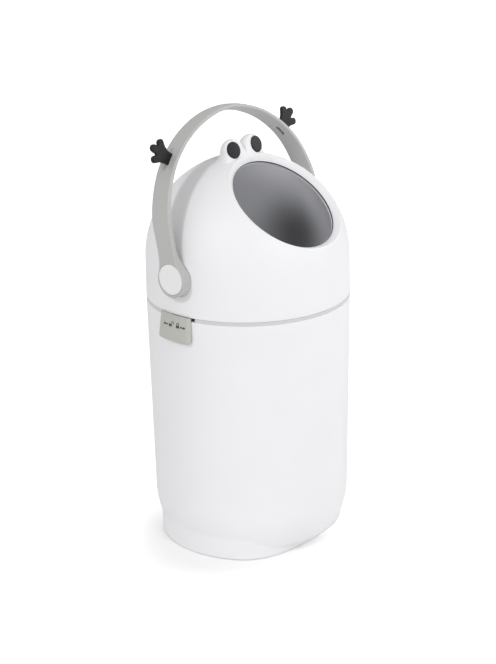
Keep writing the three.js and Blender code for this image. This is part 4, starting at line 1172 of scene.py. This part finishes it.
def hand_outline():
    """The palm, then each finger's round end and the notch after it, then back to the palm."""
    corners = [(0.3, 7.9, 0.4), (9, 7.6, 5), (15.5, 9.6, 5)]
    for i, (u, v) in enumerate(FINGERS):
        ahead = Vector((u - FINGER_ROOT, v)).normalized()
        tip = Vector((u, v)) + ahead * FINGER_RADIUS
        aside = Vector((-ahead.y, ahead.x)) * FINGER_RADIUS
        corners += [(*(tip + aside), FINGER_RADIUS), (*(tip - aside), FINGER_RADIUS)]
        if i < len(NOTCHES):
            corners.append((*NOTCHES[i], 0.8))
    return corners + [(12.4, -12.4, 6), (0.3, -8, 0.4)]


def hand_point(side):
    """Turns (out of the band, along it, across it) at a hand's root into a point."""
    place, along, out = ARCH.frame(ARCH.total * (HAND_PLACE if side < 0 else 1 - HAND_PLACE))

    def point(u, v, h):
        flat = place + out * u + along * v
        return UPRIGHT @ Vector((flat.x, h, flat.y))

    return point


def hand(side):
    turn = 1 if side < 0 else -1
    outline = fillet([(u, v * turn, r) for u, v, r in hand_outline()], 8)
    if sum(a.cross(b) for a, b in zip(outline, outline[1:] + outline[:1])) < 0:
        outline.reverse()
    low, high, wide = TONGUE_START, TONGUE_END, TONGUE_HALF_WIDTH
    tongue = fillet([(low, -wide, 0.4), (high, -wide, 0), (high, wide, 0), (low, wide, 0.4)])
    place = hand_point(side)
    return joined(plate(dense(outline, 1.2), -HAND_HALF, HAND_HALF, HAND_EDGE, place),
                  plate(dense(tongue, 1.2), -TONGUE_HALF, TONGUE_HALF, 0.3, place))


def hand_slot(side):
    """A box through the band behind a hand, which its tongue plugs into."""
    place = hand_point(side)
    corners = rectangle(SLOT_START, SLOT_END, -SLOT_HALF_WIDTH, SLOT_HALF_WIDTH)
    return tool_object(*rings_mesh([[place(u, v, h) for u, v in corners] for h in (-SLOT_HALF, SLOT_HALF)]))


carve(handle_band, [hand_slot(-1), hand_slot(1)])
for side, word in SIDES:
    mesh_object("fingers_" + word, *hand(side), BLACK, "handle_drum", "black_plastic",
                ["hand_" + word])

# CAD nodes that stay, found by a word of their name.
KEPT = {
    "foot_pad": RUBBER, "bag_ring": NATURAL, "lid_collar": NATURAL, "trunnion_bush": NATURAL,
    "hinge_bracket": WHITE, "hinge_leaf": WHITE, "hinge_pin": STEEL, "screw": STEEL,
}
KEPT_BEVEL = 0.35
KEPT_BEVEL_ANGLE = math.radians(35)
for name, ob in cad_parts.items():
    for word, material in KEPT.items():
        if word in name:
            ob.data.materials.clear()
            ob.data.materials.append(material)
            bevel = ob.modifiers.new("bevel", "BEVEL")
            bevel.width = KEPT_BEVEL * MM
            bevel.segments = 2
            bevel.limit_method = "ANGLE"
            bevel.angle_limit = KEPT_BEVEL_ANGLE

# Floor, in metres for the glow and millimetres for its reach.
GLOW_NEAR = 0.06
GLOW_FAR = 0.5
SHADE_MIDDLE = (-0.075, -0.02, 0)
SHADE_START = 0.08
SHADE_END = 0.2
FLOOR_REACH = 12000
FLOOR_SCALE = 3
FLOOR_DARK = [0.9] * 3
FLOOR_LIGHT = [0.92] * 3


def floor_material():
    """Pale matt floor that glows to the camera alone, so that it runs into the white background. The glow
    is painted light: weakest round one place on the bin's -X side, so the shadow shows there, and stronger
    further out, where it washes shadows out.
    """
    material, nodes, links = node_tree("floor_pale")
    shader = nodes["Principled BSDF"]
    shader.inputs["Roughness"].default_value = 0.8
    shader.inputs["Specular IOR Level"].default_value = 0.1
    shader.inputs["Emission Color"].default_value = (1, 1, 1, 1)
    seen = nodes.new("ShaderNodeLightPath").outputs["Is Camera Ray"]
    glow = mapped(nodes, links, seen, 0, 1)
    fade = fade_from(nodes, links, SHADE_MIDDLE, SHADE_START, SHADE_END, GLOW_NEAR, GLOW_FAR)
    links.new(fade, glow.inputs["To Max"])
    links.new(glow.outputs["Result"], shader.inputs["Emission Strength"])
    tint = ramp(nodes, links, noise(nodes, links, FLOOR_SCALE, 2), FLOOR_DARK, FLOOR_LIGHT)
    links.new(tint, shader.inputs["Base Color"])
    return material


corners = rectangle(-FLOOR_REACH, FLOOR_REACH, -FLOOR_REACH, FLOOR_REACH)
floor = linked_mesh("floor", [(x, y, 0) for x, y in corners], [[0, 1, 2, 3]], 0)
floor.data.materials.append(floor_material())

# Light, in metres and watts.
WORLD_LIGHT = 0.59
WORLD_WHITE = 1.05
KEY_POWER = 0.79
KEY_SPREAD = 10
TOP_POWER = 3.7
FRONT_POWER = 21.5
RIGHT_POWER = 18.6
DRUM_POWER = 0.075
DRUM_LAMP_RADIUS = 0.02


def studio_world():
    """White to the camera, and dimmer as a light, so that the lamps shape the bin."""
    world = bpy.data.worlds.new("studio")
    world.use_nodes = True
    nodes, links = world.node_tree.nodes, world.node_tree.links
    background = nodes["Background"]
    background.inputs["Color"].default_value = (1, 1, 1, 1)
    seen = nodes.new("ShaderNodeLightPath").outputs["Is Camera Ray"]
    strength = mapped(nodes, links, seen, WORLD_LIGHT, WORLD_WHITE)
    links.new(strength.outputs["Result"], background.inputs["Strength"])
    return world


scene.world = studio_world()
scene.view_settings.view_transform = "Standard"


def lamp(name, kind, place, target, power):
    """A lamp at place that points at target."""
    light = bpy.data.lights.new(name, kind)
    light.energy = power
    ob = bpy.data.objects.new(name, light)
    collection.objects.link(ob)
    away = Vector(place) - Vector(target)
    turn = away.to_track_quat("Z", "Y").to_matrix().to_4x4()
    ob.matrix_world = Matrix.Translation(place) @ turn
    return ob


def soft_box(name, place, target, size, power):
    light = lamp(name, "AREA", place, target, power).data
    light.shape = "DISK"
    light.size = size


def drum_lamp(place, power):
    """A small lamp inside the drum, which lights the drum alone."""
    ob = lamp("drum_lamp", "POINT", place, (0, 0, 0), power)
    ob.data.shadow_soft_size = DRUM_LAMP_RADIUS
    ob.visible_camera = False
    lit = bpy.data.collections.new("drum_lit")
    for _, word in SIDES:
        lit.objects.link(bpy.data.objects["drum_half_" + word])
    ob.light_linking.receiver_collection = lit


lamp("key", "SUN", (-1.8, 0, 1.7), (0, 0, 0.36), KEY_POWER).data.angle = math.radians(KEY_SPREAD)
drum_lamp((0.04, 0, 0.46), DRUM_POWER)
soft_box("top", (0, 0, 2.6), (0, 0, 0), 2.2, TOP_POWER)
soft_box("front", (-0.6, -2.6, 1.5), (0, 0, 0.3), 1.6, FRONT_POWER)
soft_box("right", (2.4, -1.6, 1.4), (0, 0, 0.3), 1.6, RIGHT_POWER)

# Camera, fitted to the bin's outlines: its place in millimetres and its three directions.
SENSOR = 36
PHOTO_HEIGHT = 664
FOCAL_PIXELS = 1644.497
CAMERA_PLACE = Vector((-1621.54191221, -1411.77258329, 1058.59))
RIGHT = Vector((0.65217916, -0.75785497, -0.01783802))
UP = Vector((0.26714891, 0.2077488, 0.94099516))
BACK = Vector((-0.70943203, -0.61846284, 0.33794957))
camera_data = bpy.data.cameras.new("camera")
camera_data.sensor_fit = "VERTICAL"
camera_data.sensor_height = SENSOR
camera_data.lens = SENSOR * FOCAL_PIXELS / PHOTO_HEIGHT
camera_data.clip_end = 50
camera = bpy.data.objects.new("camera", camera_data)
collection.objects.link(camera)
turn = Matrix((RIGHT, UP, BACK)).transposed().to_4x4()
camera.matrix_world = Matrix.Translation(CAMERA_PLACE * MM) @ turn
scene.camera = camera
